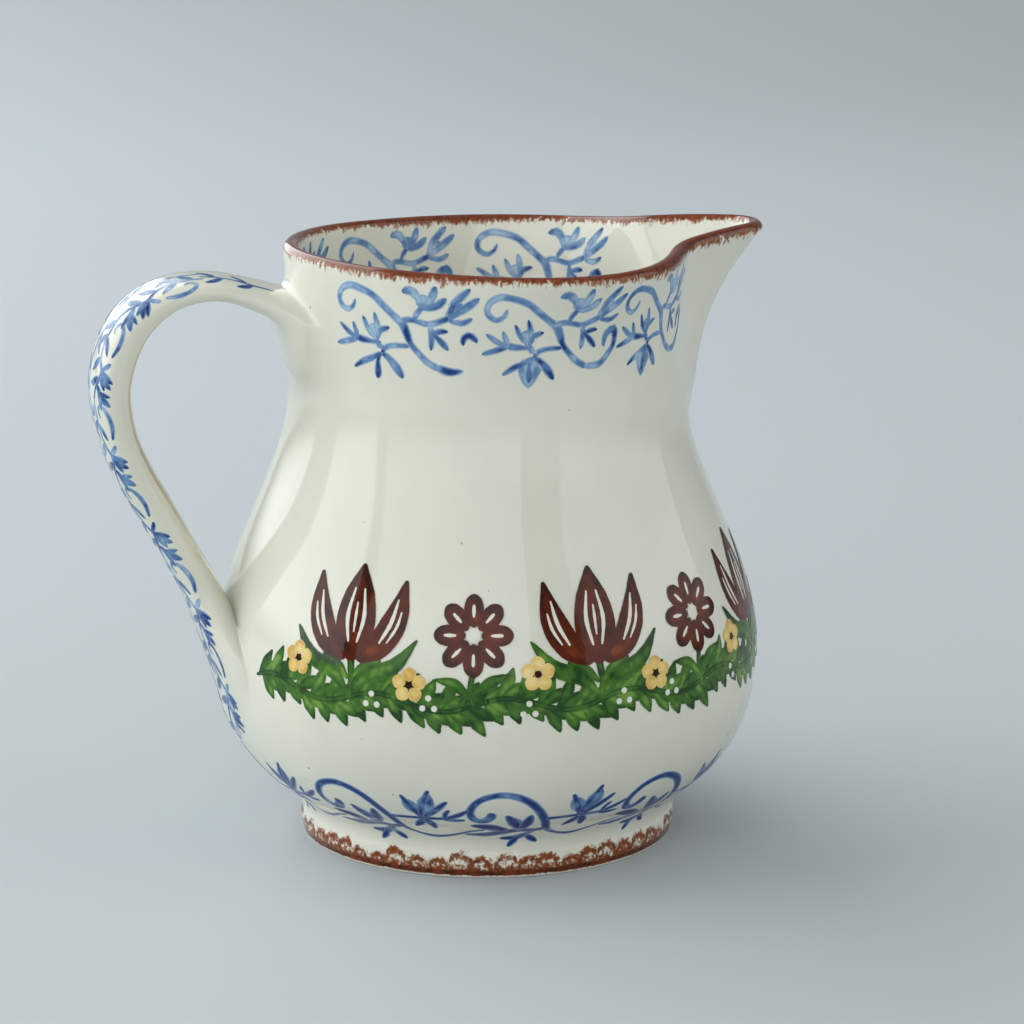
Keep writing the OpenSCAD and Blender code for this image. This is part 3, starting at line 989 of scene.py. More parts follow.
def wall_place(start_angle, start_along, radius, inside=False, wide=1.0, tall=1.0):
    """Lays u round the wall and v up it. Inside, u runs the other way, so the vine still reads."""
    way = -1 if inside else 1

    def place(u, v):
        angle = start_angle + way*np.degrees(wide*u/radius)
        along = start_along + tall*v
        return on_wall(angle, along, inside), wall_side(angle, along, inside)
    return place


def finish_paint(pieces, name, finish):
    """Joins wrapped copies to one piece, gives it thickness and colour, and hands it to the frame."""
    whole = join_all(pieces, name)
    only(whole)
    solid = whole.modifiers.new("paint_thickness", "SOLIDIFY")
    solid.thickness = PAINT_T*MM
    solid.offset = -1
    bpy.ops.object.modifier_apply(modifier=solid.name)
    bpy.ops.object.shade_smooth_by_angle(angle=SMOOTH_BELOW)
    whole.data.materials.clear()
    whole.data.materials.append(finish)
    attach(whole, "root")
    print(name, "faces:", len(whole.data.polygons))
    return whole


def put_away(*patterns):
    for pattern in patterns:
        bpy.data.objects.remove(pattern)


# %% [markdown]
# ### The colours
# Cobalt blue, iron russet, copper green, ochre yellow and white slip. Each colour is one
# shader: pale where the wash is thin, dark where it pooled near the border, and a soft light
# rim where it bleeds into the slip. The coat over them is a little weaker than on the slip, or
# the pale room, mirrored in it, would wash out the dark colours.


# %% Painted finishes
PAINT_GRAIN = 200
PAINT_COAT = 0.6


def brushed_paint(name, pale, middle, dark, unevenness=2.4, pool=0.2, soft=(0.7, 0.7)):
    """One colour. soft says where the light rim starts, from middle to border, and how light it is."""
    finish, tree, shader = new_finish(name, coat=PAINT_COAT)
    cloud = clouds(tree, place_in_clay(tree), PAINT_GRAIN, detail=2)
    edge = number_of(tree, "edge")
    uneven = shaken(tree, cloud, unevenness)
    pooled = sum_of(tree, "ADD", step_between(tree, edge, 0.2, 0.65, -0.06, pool), uneven)
    amount = sum_of(tree, "ADD", number_of(tree, "load"), pooled)
    colour = blend_of(tree, step_between(tree, amount, 0.0, 0.55), pale, middle)
    colour = blend_of(tree, step_between(tree, amount, 0.55, 1.05), colour, dark)
    rim = [0.5*p + 0.5*m for p, m in zip(pale, middle)]
    colour = blend_of(tree, step_between(tree, edge, soft[0], 1.0, 0, soft[1]), colour, rim)
    faded = blend_of(tree, step_between(tree, edge, -0.15, 1.0), rim, CREAM)
    colour = blend_of(tree, number_of(tree, "bleed"), colour, faded)
    join(tree, colour, shader.inputs["Base Color"])
    wavy_glaze(tree, shader)
    return finish


blue_paint = brushed_paint("cobalt_blue", tone(154, 182, 206), tone(88, 126, 170), tone(20, 54, 118),
                           unevenness=3.0, pool=0.03, soft=(0.4, 0.6))
russet_paint = brushed_paint("iron_russet", tone(122, 52, 18), tone(84, 28, 7), tone(46, 14, 4),
                             unevenness=1.6, soft=(0.7, 0.15))
green_paint = brushed_paint("copper_green", tone(110, 148, 64), tone(60, 104, 36), tone(28, 64, 24),
                            soft=(0.7, 0.25))
yellow_paint = brushed_paint("ochre_yellow", tone(232, 212, 148), tone(222, 192, 114), tone(198, 160, 86),
                             soft=(0.7, 0.4))
white_paint = brushed_paint("slip_white", tone(222, 224, 210), tone(218, 220, 206), tone(212, 214, 200))
print("paints ready")

# %% [markdown]
# ### The vine round the neck
# A common scrolling vine: a curl, a long S-shaped stem that dips and turns up to the next
# curl, and leaf sprays on both sides. Every stroke is a load of colour and its knots,
# each knot a place across, a place up, and a width. The washes are broad faint strokes that
# fill the leaves. The first repeat has a short tail of its own.

# %% Strokes of the neck vine
NECK_WASHES = [
    (0.02, [(22.0, 18.6, 1.0), (22.7, 20.6, 4.4), (24.0, 22.0, 2.2)]),
    (0.02, [(27.6, 17.2, 0.9), (29.8, 19.2, 2.6), (31.6, 20.9, 1.2)]),
    (0.02, [(10.6, 11.3, 0.9), (9.7, 13.2, 3.4), (9.6, 14.8, 1.6)]),
    (0.06, [(11.9, 7.8, 1.8), (10.9, 5.6, 6.6), (10.6, 2.8, 4.4), (10.5, 0.4, 1.0)])]
NECK_STEM = [
    (0.46, [(5.0, 19.9, 0.4), (4.2, 18.2, 0.8), (2.4, 17.2, 1.1), (0.5, 18.2, 1.3), (0, 19.8, 1.3),
            (0.9, 21.6, 1.3), (3.3, 22.8, 1.4), (6.3, 22.5, 1.5), (9.9, 21.3, 1.5), (12.9, 18.9, 1.5),
            (15.9, 16.5, 1.6), (17.4, 15.3, 2.0), (18.3, 13.2, 1.9), (19.2, 10.8, 1.4), (21, 8.7, 1.3),
            (23.4, 6.4, 1.4), (26.3, 4.8, 1.5)])]
NECK_TAIL = [
    (0.46, [(25.6, 5.0, 1.4), (29.9, 5.2, 1.6), (32.3, 7.5, 1.5), (33.7, 9.6, 1.3), (33.8, 12, 1.7),
            (32.9, 13.6, 1.9), (31.4, 13.2, 1.8), (30.7, 11.4, 1.3), (30.8, 9.4, 0.6)])]
START_END = [
    (0.70, [(25.2, 5.5, 1.4), (28.4, 4.4, 2.0), (31.6, 4.7, 0.6)]),
    (0.85, [(31.6, 10.9, 0.8), (31.7, 12.5, 1.4), (32.9, 13.4, 1.7), (34.2, 12.6, 1.3), (34.8, 11.6, 0.6)])]
TAIL_LEAF = [
    (0.85, [(31.3, 12.6, 1.4), (32.5, 13.9, 2.3), (33.7, 12.8, 2.1), (33.9, 10.9, 0.9)])]
NECK_SPRAYS = [
    (0.45, [(16.6, 15.8, 1.4), (19.0, 16.4, 1.3), (20.4, 16.3, 1.2), (23.7, 15.6, 1.2), (26.3, 16.4, 1.3),
            (28.7, 17.4, 1.4)]),
    (0.45, [(20.3, 16.2, 1.2), (20.8, 17.7, 1.1), (22.2, 19.5, 1.3)]),
    (0.36, [(22.3, 19.3, 1.2), (21.3, 21.6, 1.7), (19.6, 23.2, 1.9), (17.4, 22.8, 1.1)]),
    (0.36, [(22.5, 19.5, 1.3), (24.4, 21.6, 1.9), (25.6, 24.6, 1.2)]),
    (0.50, [(22.3, 19.3, 1.2), (24.3, 19.6, 1.6), (26.3, 20.5, 1.8), (28.0, 22.0, 0.8)]),
    (0.42, [(28.5, 17.3, 1.2), (29.5, 20.4, 1.6), (31.4, 22.5, 1.6), (33.4, 24.5, 0.8)]),
    (0.42, [(28.5, 17.3, 1.2), (30.9, 19.0, 1.7), (33.2, 20.6, 1.7), (35.4, 22.4, 0.8)]),
    (0.36, [(28.2, 17.0, 1.1), (29.8, 16.5, 1.1), (31.6, 16.3, 1.2), (33.8, 17.5, 0.7)]),
    (0.50, [(24.0, 15.5, 0.8), (24.4, 13.0, 1.4), (24.1, 9.4, 0.7)]),
    (0.62, [(24.1, 13.9, 0.9), (25.3, 13.7, 1.1), (26.6, 14.1, 1.3), (28.2, 14.1, 0.8)]),
    (0.70, [(24.2, 13.9, 0.9), (25.4, 12.7, 1.1), (26.9, 11.2, 1.4), (28.2, 9.6, 0.9)]),
    (0.50, [(18.9, 10.1, 1.0), (15.3, 10.0, 1.0), (12.8, 9.3, 1.1), (11.8, 7.8, 1.2)]),
    (0.50, [(12.8, 9.2, 0.9), (11.2, 9.6, 1.1), (10.5, 11.3, 1.2)]),
    (0.52, [(10.6, 11.0, 1.0), (8.4, 13.2, 1.3), (6.9, 16.2, 0.6)]),
    (0.45, [(10.6, 11.0, 1.0), (10.9, 13.8, 1.5), (10.1, 17.4, 0.6)]),
    (0.68, [(10.6, 11.0, 1.0), (11.5, 13.2, 1.5), (14.1, 14.2, 0.8)]),
    (0.62, [(11.8, 10.4, 0.6), (9.0, 10.5, 1.0), (6.4, 10.7, 1.6), (4.4, 11.2, 1.5)]),
    (0.58, [(5.6, 11.1, 1.0), (3.3, 11.5, 1.2), (1.4, 12.7, 1.1), (-0.3, 13.9, 0.5)]),
    (0.56, [(5.3, 11.2, 1.1), (4.7, 12.4, 1.2), (3.9, 14.6, 0.5)]),
    (0.50, [(5.4, 11.0, 1.0), (3.6, 10.3, 1.3), (0.9, 9.5, 1.2), (-1.4, 8.9, 0.6)]),
    (0.46, [(11.9, 7.9, 1.2), (9.6, 6.7, 1.3), (6.7, 5.5, 1.4), (3.8, 3.8, 0.6)]),
    (0.72, [(11.9, 7.9, 1.2), (13.6, 6.8, 1.4), (15.6, 4.6, 2.0), (17.2, 2.2, 1.0)]),
    (0.60, [(11.6, 7.8, 0.8), (10.7, 6.0, 0.9), (10.7, 3.4, 1.8), (10.6, 1.6, 0.9)])]
NECK_PRESS = 0.90
neck_start = paint_pattern("neck_vine_start", NECK_WASHES[:3] + NECK_STEM + START_END + NECK_SPRAYS,
                           press=NECK_PRESS)
neck_repeat = paint_pattern("neck_vine_repeat",
                            NECK_WASHES + NECK_STEM + NECK_TAIL + TAIL_LEAF + NECK_SPRAYS,
                            press=NECK_PRESS)
print("neck vine strokes:", len(NECK_WASHES + NECK_STEM + NECK_TAIL + NECK_SPRAYS))

# %% [markdown]
# The vine starts beside the handle, runs along each side to the beak, and stays off the beak
# itself and off the clay under the handle. Inside the mouth it runs round the back as well.

# %% The neck vine, outside and inside
NECK_VINE_Z = 125.0
NEAR_STARTS = (-146.6, -101.8, -62.6)
NEAR_WIDTHS = (1.06, 0.95, 0.82)
FAR_STARTS = (27.5, 70.0, 112.5)
INSIDE_STARTS = (131.7, 80.8, -178.0, -129.0, -82.0)
neck_up = along_at(NECK_VINE_Z)
near_patterns = (neck_start, neck_repeat, neck_repeat)
pieces = [wrap_copy(pattern, wall_place(start, neck_up, NECK_R, wide=wide))
          for pattern, start, wide in zip(near_patterns, NEAR_STARTS, NEAR_WIDTHS)]
pieces += [wrap_copy(neck_repeat, wall_place(a, neck_up, NECK_R)) for a in FAR_STARTS]
finish_paint(pieces, "neck_vine_outside", blue_paint)
inner_r = NECK_R - WALL_T
pieces = [wrap_copy(neck_repeat, wall_place(a, neck_up, inner_r, inside=True)) for a in INSIDE_STARTS]
finish_paint(pieces, "neck_vine_inside", blue_paint)
put_away(neck_start, neck_repeat)

# %% [markdown]
# ### The vine above the foot
# Nine repeats of a smaller scroll run right round the pot where the belly turns under.

# %% Strokes of the foot vine
FOOT_STROKES = [
    (0.05, [(26.9, 13.4, 1.2), (25.0, 17.0, 3.0), (23.6, 19.8, 1.0)]),
    (0.05, [(27.0, 13.6, 1.2), (28.5, 18.4, 3.2), (29.6, 21.6, 1.0)]),
    (0.05, [(12.8, 7.0, 1.0), (11.2, 11.0, 2.4), (9.4, 13.6, 0.8)]),
    (0.56, [(5.0, 15.8, 1.7), (5.0, 13.8, 2.0), (3.4, 12.0, 2.0), (1.1, 12.7, 1.7), (0.3, 16.2, 1.5),
            (2.2, 19.8, 1.4), (5.6, 21.6, 1.4), (9.3, 21.6, 1.5), (13.1, 19.6, 1.6), (16.0, 16.0, 1.7),
            (18.3, 11.1, 1.8), (19.8, 6.3, 1.6), (22.8, 3.5, 0.9), (26.5, 2.3, 0.8), (30.2, 2.5, 0.8),
            (34.0, 3.8, 0.8), (37.8, 5.8, 0.8), (41.6, 6.8, 0.7)]),
    (0.48, [(18.3, 12.1, 1.2), (22.0, 12.3, 1.0), (26.9, 12.5, 1.1), (31.7, 12.7, 1.1), (35.0, 14.2, 1.4),
            (38.0, 16.6, 0.6)]),
    (0.48, [(31.5, 12.7, 0.9), (34.0, 12.0, 1.3), (37.0, 12.3, 0.6)]),
    (0.48, [(32.0, 12.8, 0.8), (32.6, 15.0, 1.0), (33.6, 16.6, 0.5)]),
    (0.52, [(26.8, 12.8, 1.2), (25.0, 16.6, 1.6), (23.1, 21.0, 0.6)]),
    (0.40, [(26.5, 13.4, 1.0), (27.4, 17.6, 1.4), (29.6, 22.9, 0.7)]),
    (0.52, [(27.2, 13.0, 1.2), (30.6, 16.5, 1.5), (33.4, 19.6, 0.6)]),
    (0.60, [(26.9, 12.2, 1.0), (25.5, 9.8, 1.9), (23.6, 7.4, 0.6)]),
    (0.60, [(27.0, 12.2, 1.0), (28.3, 9.8, 2.0), (28.9, 6.8, 0.7)]),
    (0.62, [(19.6, 6.6, 1.3), (16.0, 5.9, 1.6), (12.3, 6.3, 1.8), (7.8, 5.2, 2.4), (3.4, 4.0, 1.9),
            (-2.0, 4.0, 0.6)]),
    (0.60, [(9.6, 6.4, 1.4), (4.9, 8.4, 2.9), (0, 9.6, 0.8)]),
    (0.60, [(12.7, 6.7, 1.3), (10.8, 10.7, 2.6), (8.6, 14.6, 0.8)]),
    (0.60, [(12.9, 6.9, 1.3), (13.9, 10.4, 2.6), (14.5, 14.4, 0.8)]),
    (0.50, [(16.6, 5.3, 1.1), (12.6, 2.3, 1.8), (7.6, 1.8, 0.6)]),
    (0.50, [(14.6, 3.4, 1.0), (16.4, 1.6, 1.6), (18.6, 0.2, 0.6)]),
    (0.50, [(12.9, 2.6, 1.1), (11.6, 0.8, 1.6), (9.8, -0.8, 0.6)])]
FOOT_STARTS = (-144.8, -106.2, -67.4, -27.0, 13.4, 53.8, 94.2, 134.6, 175.0)
FOOT_VINE_Z = 9.4
FOOT_VINE_R = 57.5
foot_repeat = paint_pattern("foot_vine_repeat", FOOT_STROKES, press=1.2, bleed=0.8, more=0.55)
foot_up = along_at(FOOT_VINE_Z)
pieces = [wrap_copy(foot_repeat, wall_place(angle, foot_up, FOOT_VINE_R, wide=1.02, tall=1.12))
          for angle in FOOT_STARTS]
finish_paint(pieces, "foot_vine", blue_paint)
put_away(foot_repeat)

# %% [markdown]
# ### The vine down the handle
# The strap's outer face carries the same vine drawn small and close. Its pattern is laid along
# the strap: a place down the strap from the neck, and a place across it. One half of the
# pattern is drawn, and the other half is the same, turned over and moved half a repeat on.
# Low on the handle the painting is heavier, so from there the brush is pressed harder and
# carries more colour.


# %% Placing a pattern on the strap's outer face
STRAP_FACE_PLACE = 2.2
FACE_SAMPLES = 1200
FACE_TURNS = 46
SIDE_REACH = 0.25
VINE_WIDENS = 0.22
WIDENS_FROM = 100
WIDENS_TO = 160


def strap_marks():
    """Places t down the middle of the strap's outer face, and the length to each."""
    fine = np.linspace(STRAP_FACE_PLACE, LAST_PLACE, FACE_SAMPLES)
    back = on_strap(fine, np.full(len(fine), 90.0))
    length = np.concatenate([[0], np.cumsum(np.linalg.norm(np.diff(back, axis=0), axis=1))])
    return fine, length


strap_t, strap_length = strap_marks()


def on_strap_face(down, across):
    """A place down the strap and one across it, measured over the rounded face."""
    t = np.interp(down, strap_length, strap_t)
    size = strap_row(t)
    turns = np.linspace(90, 0, FACE_TURNS)
    c, s = np.cos(np.radians(turns)), np.sin(np.radians(turns))
    wide = size[:, 2:3]*np.abs(c)**SECTION_FULLNESS
    deep = size[:, 3:4]*np.abs(s)**SECTION_FULLNESS
    steps = np.hypot(np.diff(wide, axis=1), np.diff(deep, axis=1))
    over = np.concatenate([np.zeros((len(t), 1)), np.cumsum(steps, axis=1)], axis=1)
    turn = np.array([np.interp(abs(a), row, turns) for a, row in zip(across, over)])
    return on_strap(t, np.where(across > 0, 180 - turn, turn))


def strap_place(start):
    """Lays u down the strap and v across it. The vine widens towards the strap's lower end."""
    def place(u, v):
        down = start + u
        v = v*(1 + VINE_WIDENS*share(down, WIDENS_FROM, WIDENS_TO))
        run = on_strap_face(down + SIDE_REACH, v) - on_strap_face(down - SIDE_REACH, v)
        rise = on_strap_face(down, v + SIDE_REACH) - on_strap_face(down, v - SIDE_REACH)
        side = np.cross(run, rise)
        side /= np.linalg.norm(side, axis=-1)[..., None]
        return on_strap_face(down, v), side
    return place


print(f"outer face of the strap: {strap_length[-1]:.0f} mm")

# %% Strokes of the handle vine
HALF_REPEAT = 11.3
HALF_VINE = [
    (0.54, [(4.6, 9.6, 0.4), (2.9, 8.9, 0.6), (1.4, 9.8, 0.8), (1.9, 11.6, 0.8), (4.4, 12.8, 0.8),
            (7.4, 13.0, 0.8), (10.4, 12.3, 0.5)]),
    (0.52, [(-1.0, 6.6, 0.8), (4.0, 7.0, 0.9), (8.4, 6.8, 0.9), (12.2, 8.2, 0.9), (14.6, 9.9, 0.9),
            (17.4, 9.2, 0.9), (20.0, 7.6, 0.9), (22.6, 6.8, 0.8)]),
    (0.50, [(14.6, 9.9, 0.7), (13.2, 11.6, 1.0), (11.9, 12.6, 0.5)]),
    (0.80, [(14.6, 10.0, 1.0), (16.2, 12.2, 1.7), (17.3, 14.2, 0.3)]),
    (0.60, [(14.8, 9.8, 1.0), (17.2, 11.1, 1.7), (19.6, 12.0, 0.3)]),
    (0.76, [(16.0, 10.8, 0.8), (17.8, 12.6, 1.2), (19.0, 13.8, 0.3)]),
    (0.72, [(18.4, 8.8, 0.8), (20.4, 10.2, 1.6), (22.4, 12.0, 1.6), (24.0, 13.6, 0.3)]),
    (0.62, [(19.8, 9.6, 0.8), (22.2, 10.4, 1.4), (25.0, 10.8, 0.3)]),
    (0.80, [(20.2, 10.0, 0.8), (20.8, 12.0, 1.2), (21.2, 13.8, 0.3)]),
    (0.66, [(1.6, 6.8, 0.8), (3.4, 4.4, 2.0), (5.2, 1.4, 0.3)]),
    (0.76, [(5.8, 7.0, 0.8), (7.4, 4.2, 1.9), (10.0, 1.8, 0.3)]),
    (0.60, [(6.2, 7.2, 0.8), (8.2, 9.0, 1.5), (10.6, 10.6, 0.3)]),
    (0.70, [(11.6, 7.6, 0.8), (13.6, 5.6, 2.0), (15.8, 2.6, 0.3)]),
    (0.60, [(16.6, 8.8, 0.8), (18.2, 6.0, 1.8), (18.8, 3.0, 0.3)])]
MIDDLE_STEM = [
    (0.50, [(-1.0, 0.8, 0.9), (2.6, 1.4, 1.0), (6.4, 0.6, 1.0), (10.2, -0.8, 1.0), (13.8, -1.4, 1.0),
            (17.6, -0.6, 1.0), (21.8, 0.8, 0.9)]),
    (0.60, [(6.6, 0.6, 0.8), (9.0, 3.2, 1.9), (11.4, 5.6, 0.3)]),
    (0.60, [(17.8, -0.6, 0.8), (20.2, -3.2, 1.9), (22.6, -5.6, 0.3)])]
FIRST_STEM = [
    (0.75, [(-19.0, 8.4, 0.9), (-14.5, 7.8, 1.4), (-10.0, 6.6, 1.4), (-5.0, 5.4, 1.3), (0.0, 4.4, 1.2)]),
    (0.85, [(-13.5, 7.6, 0.9), (-11.4, 9.8, 2.2), (-9.0, 10.8, 0.8)]),
    (0.80, [(-12.0, 7.2, 0.9), (-10.0, 3.6, 2.2), (-8.2, 1.0, 0.7)]),
    (0.85, [(-6.0, 5.6, 0.9), (-3.6, 8.4, 2.3), (-1.0, 9.6, 0.8)]),
    (0.80, [(-4.0, 5.2, 0.9), (-2.2, 1.6, 2.3), (0.0, -0.8, 0.7)])]


def other_half(strokes):
    return [(load, [(u + HALF_REPEAT, -v, w) for u, v, w in knots]) for load, knots in strokes]


WHOLE_VINE = MIDDLE_STEM + HALF_VINE + other_half(HALF_VINE)
HANDLE_VINE_START = 20.8
HANDLE_REPEATS = 8
FIRST_DEEP_REPEAT = 5
handle_repeat = paint_pattern("handle_vine_repeat", WHOLE_VINE, press=1.2, bleed=0.7)
handle_deep = paint_pattern("handle_vine_deep", WHOLE_VINE, press=1.35, bleed=0.7, more=0.2)
handle_first = paint_pattern("handle_vine_first", FIRST_STEM, bleed=0.6)
pieces = [wrap_copy(handle_repeat if k < FIRST_DEEP_REPEAT else handle_deep,
                    strap_place(HANDLE_VINE_START + 2*HALF_REPEAT*k)) for k in range(HANDLE_REPEATS)]
pieces.append(wrap_copy(handle_first, strap_place(HANDLE_VINE_START)))
finish_paint(pieces, "handle_vine", blue_paint)
put_away(handle_repeat, handle_deep, handle_first)

# %% [markdown]
# ### The border round the belly
# A broad painted border fills the belly: a green leafy garland, large russet tulips that stand
# on it, smaller russet flowers between them, and yellow blooms low in the leaves.
# These are common motifs of country pottery, built up from petals, and a petal is again
# one pressed brush stroke. Each colour lies on layers of its own, a hair above the one before:
# green first, then flowers and berries, and the white cuts and dark eyes on top.

# %% The garland of leaves
CELL_ANGLE = 360/6.875
CELL = math.radians(CELL_ANGLE)*BELLY_R
BORDER_Z = 44.5
LEAF_PAIRS = 13
WAVE_MIDDLE = 6.6
WAVE_HEIGHT = 1.7
WAVES_PER_CELL = 2
STEM_KNOTS = 16


def wave(u):
    """The garland's stem rises and falls in an even wave."""
    return WAVE_MIDDLE + WAVE_HEIGHT*math.sin(2*math.pi*u/CELL*WAVES_PER_CELL)


def garland_leaf(u, way, reach, lean):
    """One leaf from the stem, up (way 1) or down (way -1)."""
    v = wave(u)
    tip = (u + lean + 3.4, v + way*reach)
    middle = (u + 0.35*lean + 2.4, v + way*reach*0.52)
    return (0.30 + 0.4*random.random(), [(u, v, 0.9), (*middle, 3.3), (*tip, 0.6)])


garland = []
for k in range(LEAF_PAIRS):
    u = CELL*(k + 0.2)/LEAF_PAIRS
    garland.append(garland_leaf(u, 1, random.uniform(6.4, 8.6), random.uniform(0, 2)))
    garland.append(garland_leaf(u + 1.6, -1, random.uniform(5.4, 7.0), random.uniform(0, 2)))
    garland.append(garland_leaf(u + 0.8, 1, random.uniform(3.6, 4.6), 3.2))
    garland.append(garland_leaf(u + 2.6, -1, random.uniform(3.0, 4.0), 3.2))
stem_knots = [(CELL*k/STEM_KNOTS, wave(CELL*k/STEM_KNOTS), 1.5 if k else 0.6)
              for k in range(STEM_KNOTS + 2)]
garland.append((0.75, stem_knots))
garland_repeat = paint_pattern("garland_repeat", garland, bleed=0)
print("leaves in one repeat:", len(garland) - 1)

# %% Tulips, flowers and blooms
GREEN_LAYER = 58
FLOWER_LAYER = 64
TULIP_LAYER = 66
BERRY_LAYER = 68
TOP_LAYER = 74


def both_sides(strokes):
    """The strokes, and the same strokes mirrored."""
    return strokes + [(load, [(-u, v, w) for u, v, w in knots]) for load, knots in strokes]


def petals(count, start, end, width, load, turn=0.0, centre=(0, 0)):
    """Strokes like the spokes of a wheel, each from start to end, counted from the centre."""
    strokes = []
    for k in range(count):
        a = math.radians(turn + 360*k/count)
        c, s = math.cos(a), math.sin(a)
        knots = [(centre[0] + c*r, centre[1] + s*r, w)
                 for r, w in ((start, width*0.45), ((start + end)/2, width), (end, width*0.7))]
        strokes.append((load, knots))
    return strokes


def dot(u, v, size, load):
    """A round touch of the brush."""
    return (load, [(u - size/2, v, size), (u, v, size), (u + size/2, v, size)])


TULIP_STEM = [(0.55, [(0, 6, 1.4), (0.5, 11, 1.6), (0, 16.5, 2.0)])]
TULIP_LEAVES = both_sides([(0.5, [(0.6, 8, 1.0), (5.0, 12.4, 3.8), (12.0, 15.4, 3.8), (17.6, 22, 0.6)]),
                           (0.4, [(0.4, 11, 0.8), (3.6, 14.4, 2.2), (8.4, 16.4, 0.6)])])
TULIP_HEAD = [(0.5, [(0, 15.4, 3.4), (0, 22.5, 11.0), (0, 31.5, 9.4), (0, 39.6, 1.0)])]
TULIP_SIDES = both_sides([(0.45, [(1.6, 16.0, 2.4), (7.4, 20, 6.6), (11.4, 27, 6.6), (13.4, 36.4, 1.0)])])
TULIP_CUTS = both_sides([(0.2, [(1.2, 20.0, 0.5), (2.4, 26.5, 1.1), (1.4, 33.5, 0.5)]),
                         (0.2, [(7.4, 20.4, 0.5), (10.2, 25.6, 1.1), (11.7, 31.6, 0.5)]),
                         (0.2, [(9.4, 20.6, 0.4), (11.8, 24.6, 0.8), (12.9, 28.6, 0.4)])])
TULIP_CUTS.append((0.2, [(0, 22.5, 0.4), (0, 26.5, 0.8), (0, 30.0, 0.4)]))
FLOWER_STEM = [(0.55, [(0, 6, 1.2), (-0.8, 10, 1.4), (0, 15.0, 1.5)]),
               (0.45, [(-0.4, 8, 0.8), (-4.6, 11.6, 3.0), (-9.4, 12.8, 0.6)]),
               (0.45, [(-0.2, 9, 0.8), (4.2, 12.2, 3.0), (9.0, 14.2, 0.6)])]
FLOWER_AT = (0, 23.6)
FLOWER_PETALS = petals(8, 2.0, 10.2, 5.2, 0.45, turn=90, centre=FLOWER_AT)
FLOWER_CUTS = petals(8, 4.4, 7.6, 0.9, 0.2, turn=90, centre=FLOWER_AT) + [dot(*FLOWER_AT, 3.6, 0.2)]
BLOOM_PETALS = petals(5, 0.9, 4.4, 3.6, 0.25, turn=18)
BLOOM_EYE = [dot(0, 0, 1.8, 0.9)]
BERRY_DOTS = [dot(1.7*math.cos(a), 1.7*math.sin(a), 1.5, 0.2) for a in np.radians([90, 210, 330])]
tulip_green = paint_pattern("tulip_green", TULIP_STEM + TULIP_LEAVES, GREEN_LAYER, bleed=0)
tulip_russet = paint_pattern("tulip_russet", TULIP_SIDES + TULIP_HEAD, TULIP_LAYER, bleed=0)
tulip_white = paint_pattern("tulip_white", TULIP_CUTS, TOP_LAYER, bleed=0)
flower_green = paint_pattern("flower_green", FLOWER_STEM, GREEN_LAYER, bleed=0)
flower_russet = paint_pattern("flower_russet", FLOWER_PETALS, FLOWER_LAYER, bleed=0)
flower_white = paint_pattern("flower_white", FLOWER_CUTS, TOP_LAYER, bleed=0)
berries_white = paint_pattern("berries_white", BERRY_DOTS, BERRY_LAYER, bleed=0)
bloom_yellow = paint_pattern("bloom_yellow", BLOOM_PETALS, TULIP_LAYER, bleed=0)
bloom_eye = paint_pattern("bloom_eye", BLOOM_EYE, TOP_LAYER, bleed=0)
print("motifs drawn")

# %% [markdown]
# The belly carries six tulips and five flowers between them, and the border stays off the
# clay under the handle. Two yellow blooms sit in the leaves beside each tulip, one a little
# higher than the other, and small white berries are scattered between.

# %% The border laid round the belly
BLOOM_TURN = 13.1
BLOOM_UP = 12.5
BLOOM_TILT = 1.5
BERRY_UP = 6.4
LOW_BERRY_UP = 5.2
TULIP_ANGLES = [CELL_ANGLE*(k - 2.5) for k in range(6)]
FLOWER_ANGLES = [CELL_ANGLE*(k - 2) for k in range(5)]
BLOOM_PLACES = [(a + way*BLOOM_TURN, BLOOM_UP - way*BLOOM_TILT) for a in TULIP_ANGLES for way in (-1, 1)]
BERRY_ANGLES = [a + 5.2 for a in TULIP_ANGLES] + [a - 9 for a in FLOWER_ANGLES]
LOW_BERRY_ANGLES = [a - 15 for a in TULIP_ANGLES[1:]]
border_up = along_at(BORDER_Z)


def round_belly(pattern, turn_list, up=0.0):
    return [wrap_copy(pattern, wall_place(a, border_up + up, BELLY_R)) for a in turn_list]


def at_blooms(pattern):
    return [copy for angle, up in BLOOM_PLACES for copy in round_belly(pattern, [angle], up)]


green = round_belly(garland_repeat, [a - CELL_ANGLE/2 for a in TULIP_ANGLES])
green += round_belly(tulip_green, TULIP_ANGLES) + round_belly(flower_green, FLOWER_ANGLES)
finish_paint(green, "border_greenery", green_paint)
russet = round_belly(tulip_russet, TULIP_ANGLES) + round_belly(flower_russet, FLOWER_ANGLES)
finish_paint(russet, "border_russet_flowers", russet_paint)
white = round_belly(tulip_white, TULIP_ANGLES) + round_belly(flower_white, FLOWER_ANGLES)
white += round_belly(berries_white, BERRY_ANGLES, BERRY_UP)
white += round_belly(berries_white, LOW_BERRY_ANGLES, LOW_BERRY_UP)
finish_paint(white, "border_white_cuts", white_paint)
finish_paint(at_blooms(bloom_yellow), "border_yellow_blooms", yellow_paint)
finish_paint(at_blooms(bloom_eye), "border_bloom_eyes", russet_paint)
put_away(garland_repeat, tulip_green, tulip_russet, tulip_white, flower_green, flower_russet,
         flower_white, berries_white, bloom_yellow, bloom_eye)

# %% [markdown]
# ## The studio
# A pale sheet of paper curves up behind the jug, as in a photographer's cove. It is a plane
# whose far part is bent upwards by a formula.

# %% Paper cove
PAPER_SIZE = 8
PAPER_CUTS = 63
SWEEP_START = 1.5
SWEEP_R = 1.2
PAPER_GREY = tone(190, 197, 200)
PAPER_ROUGHNESS = 0.9
PAPER_SHINE = 0.1

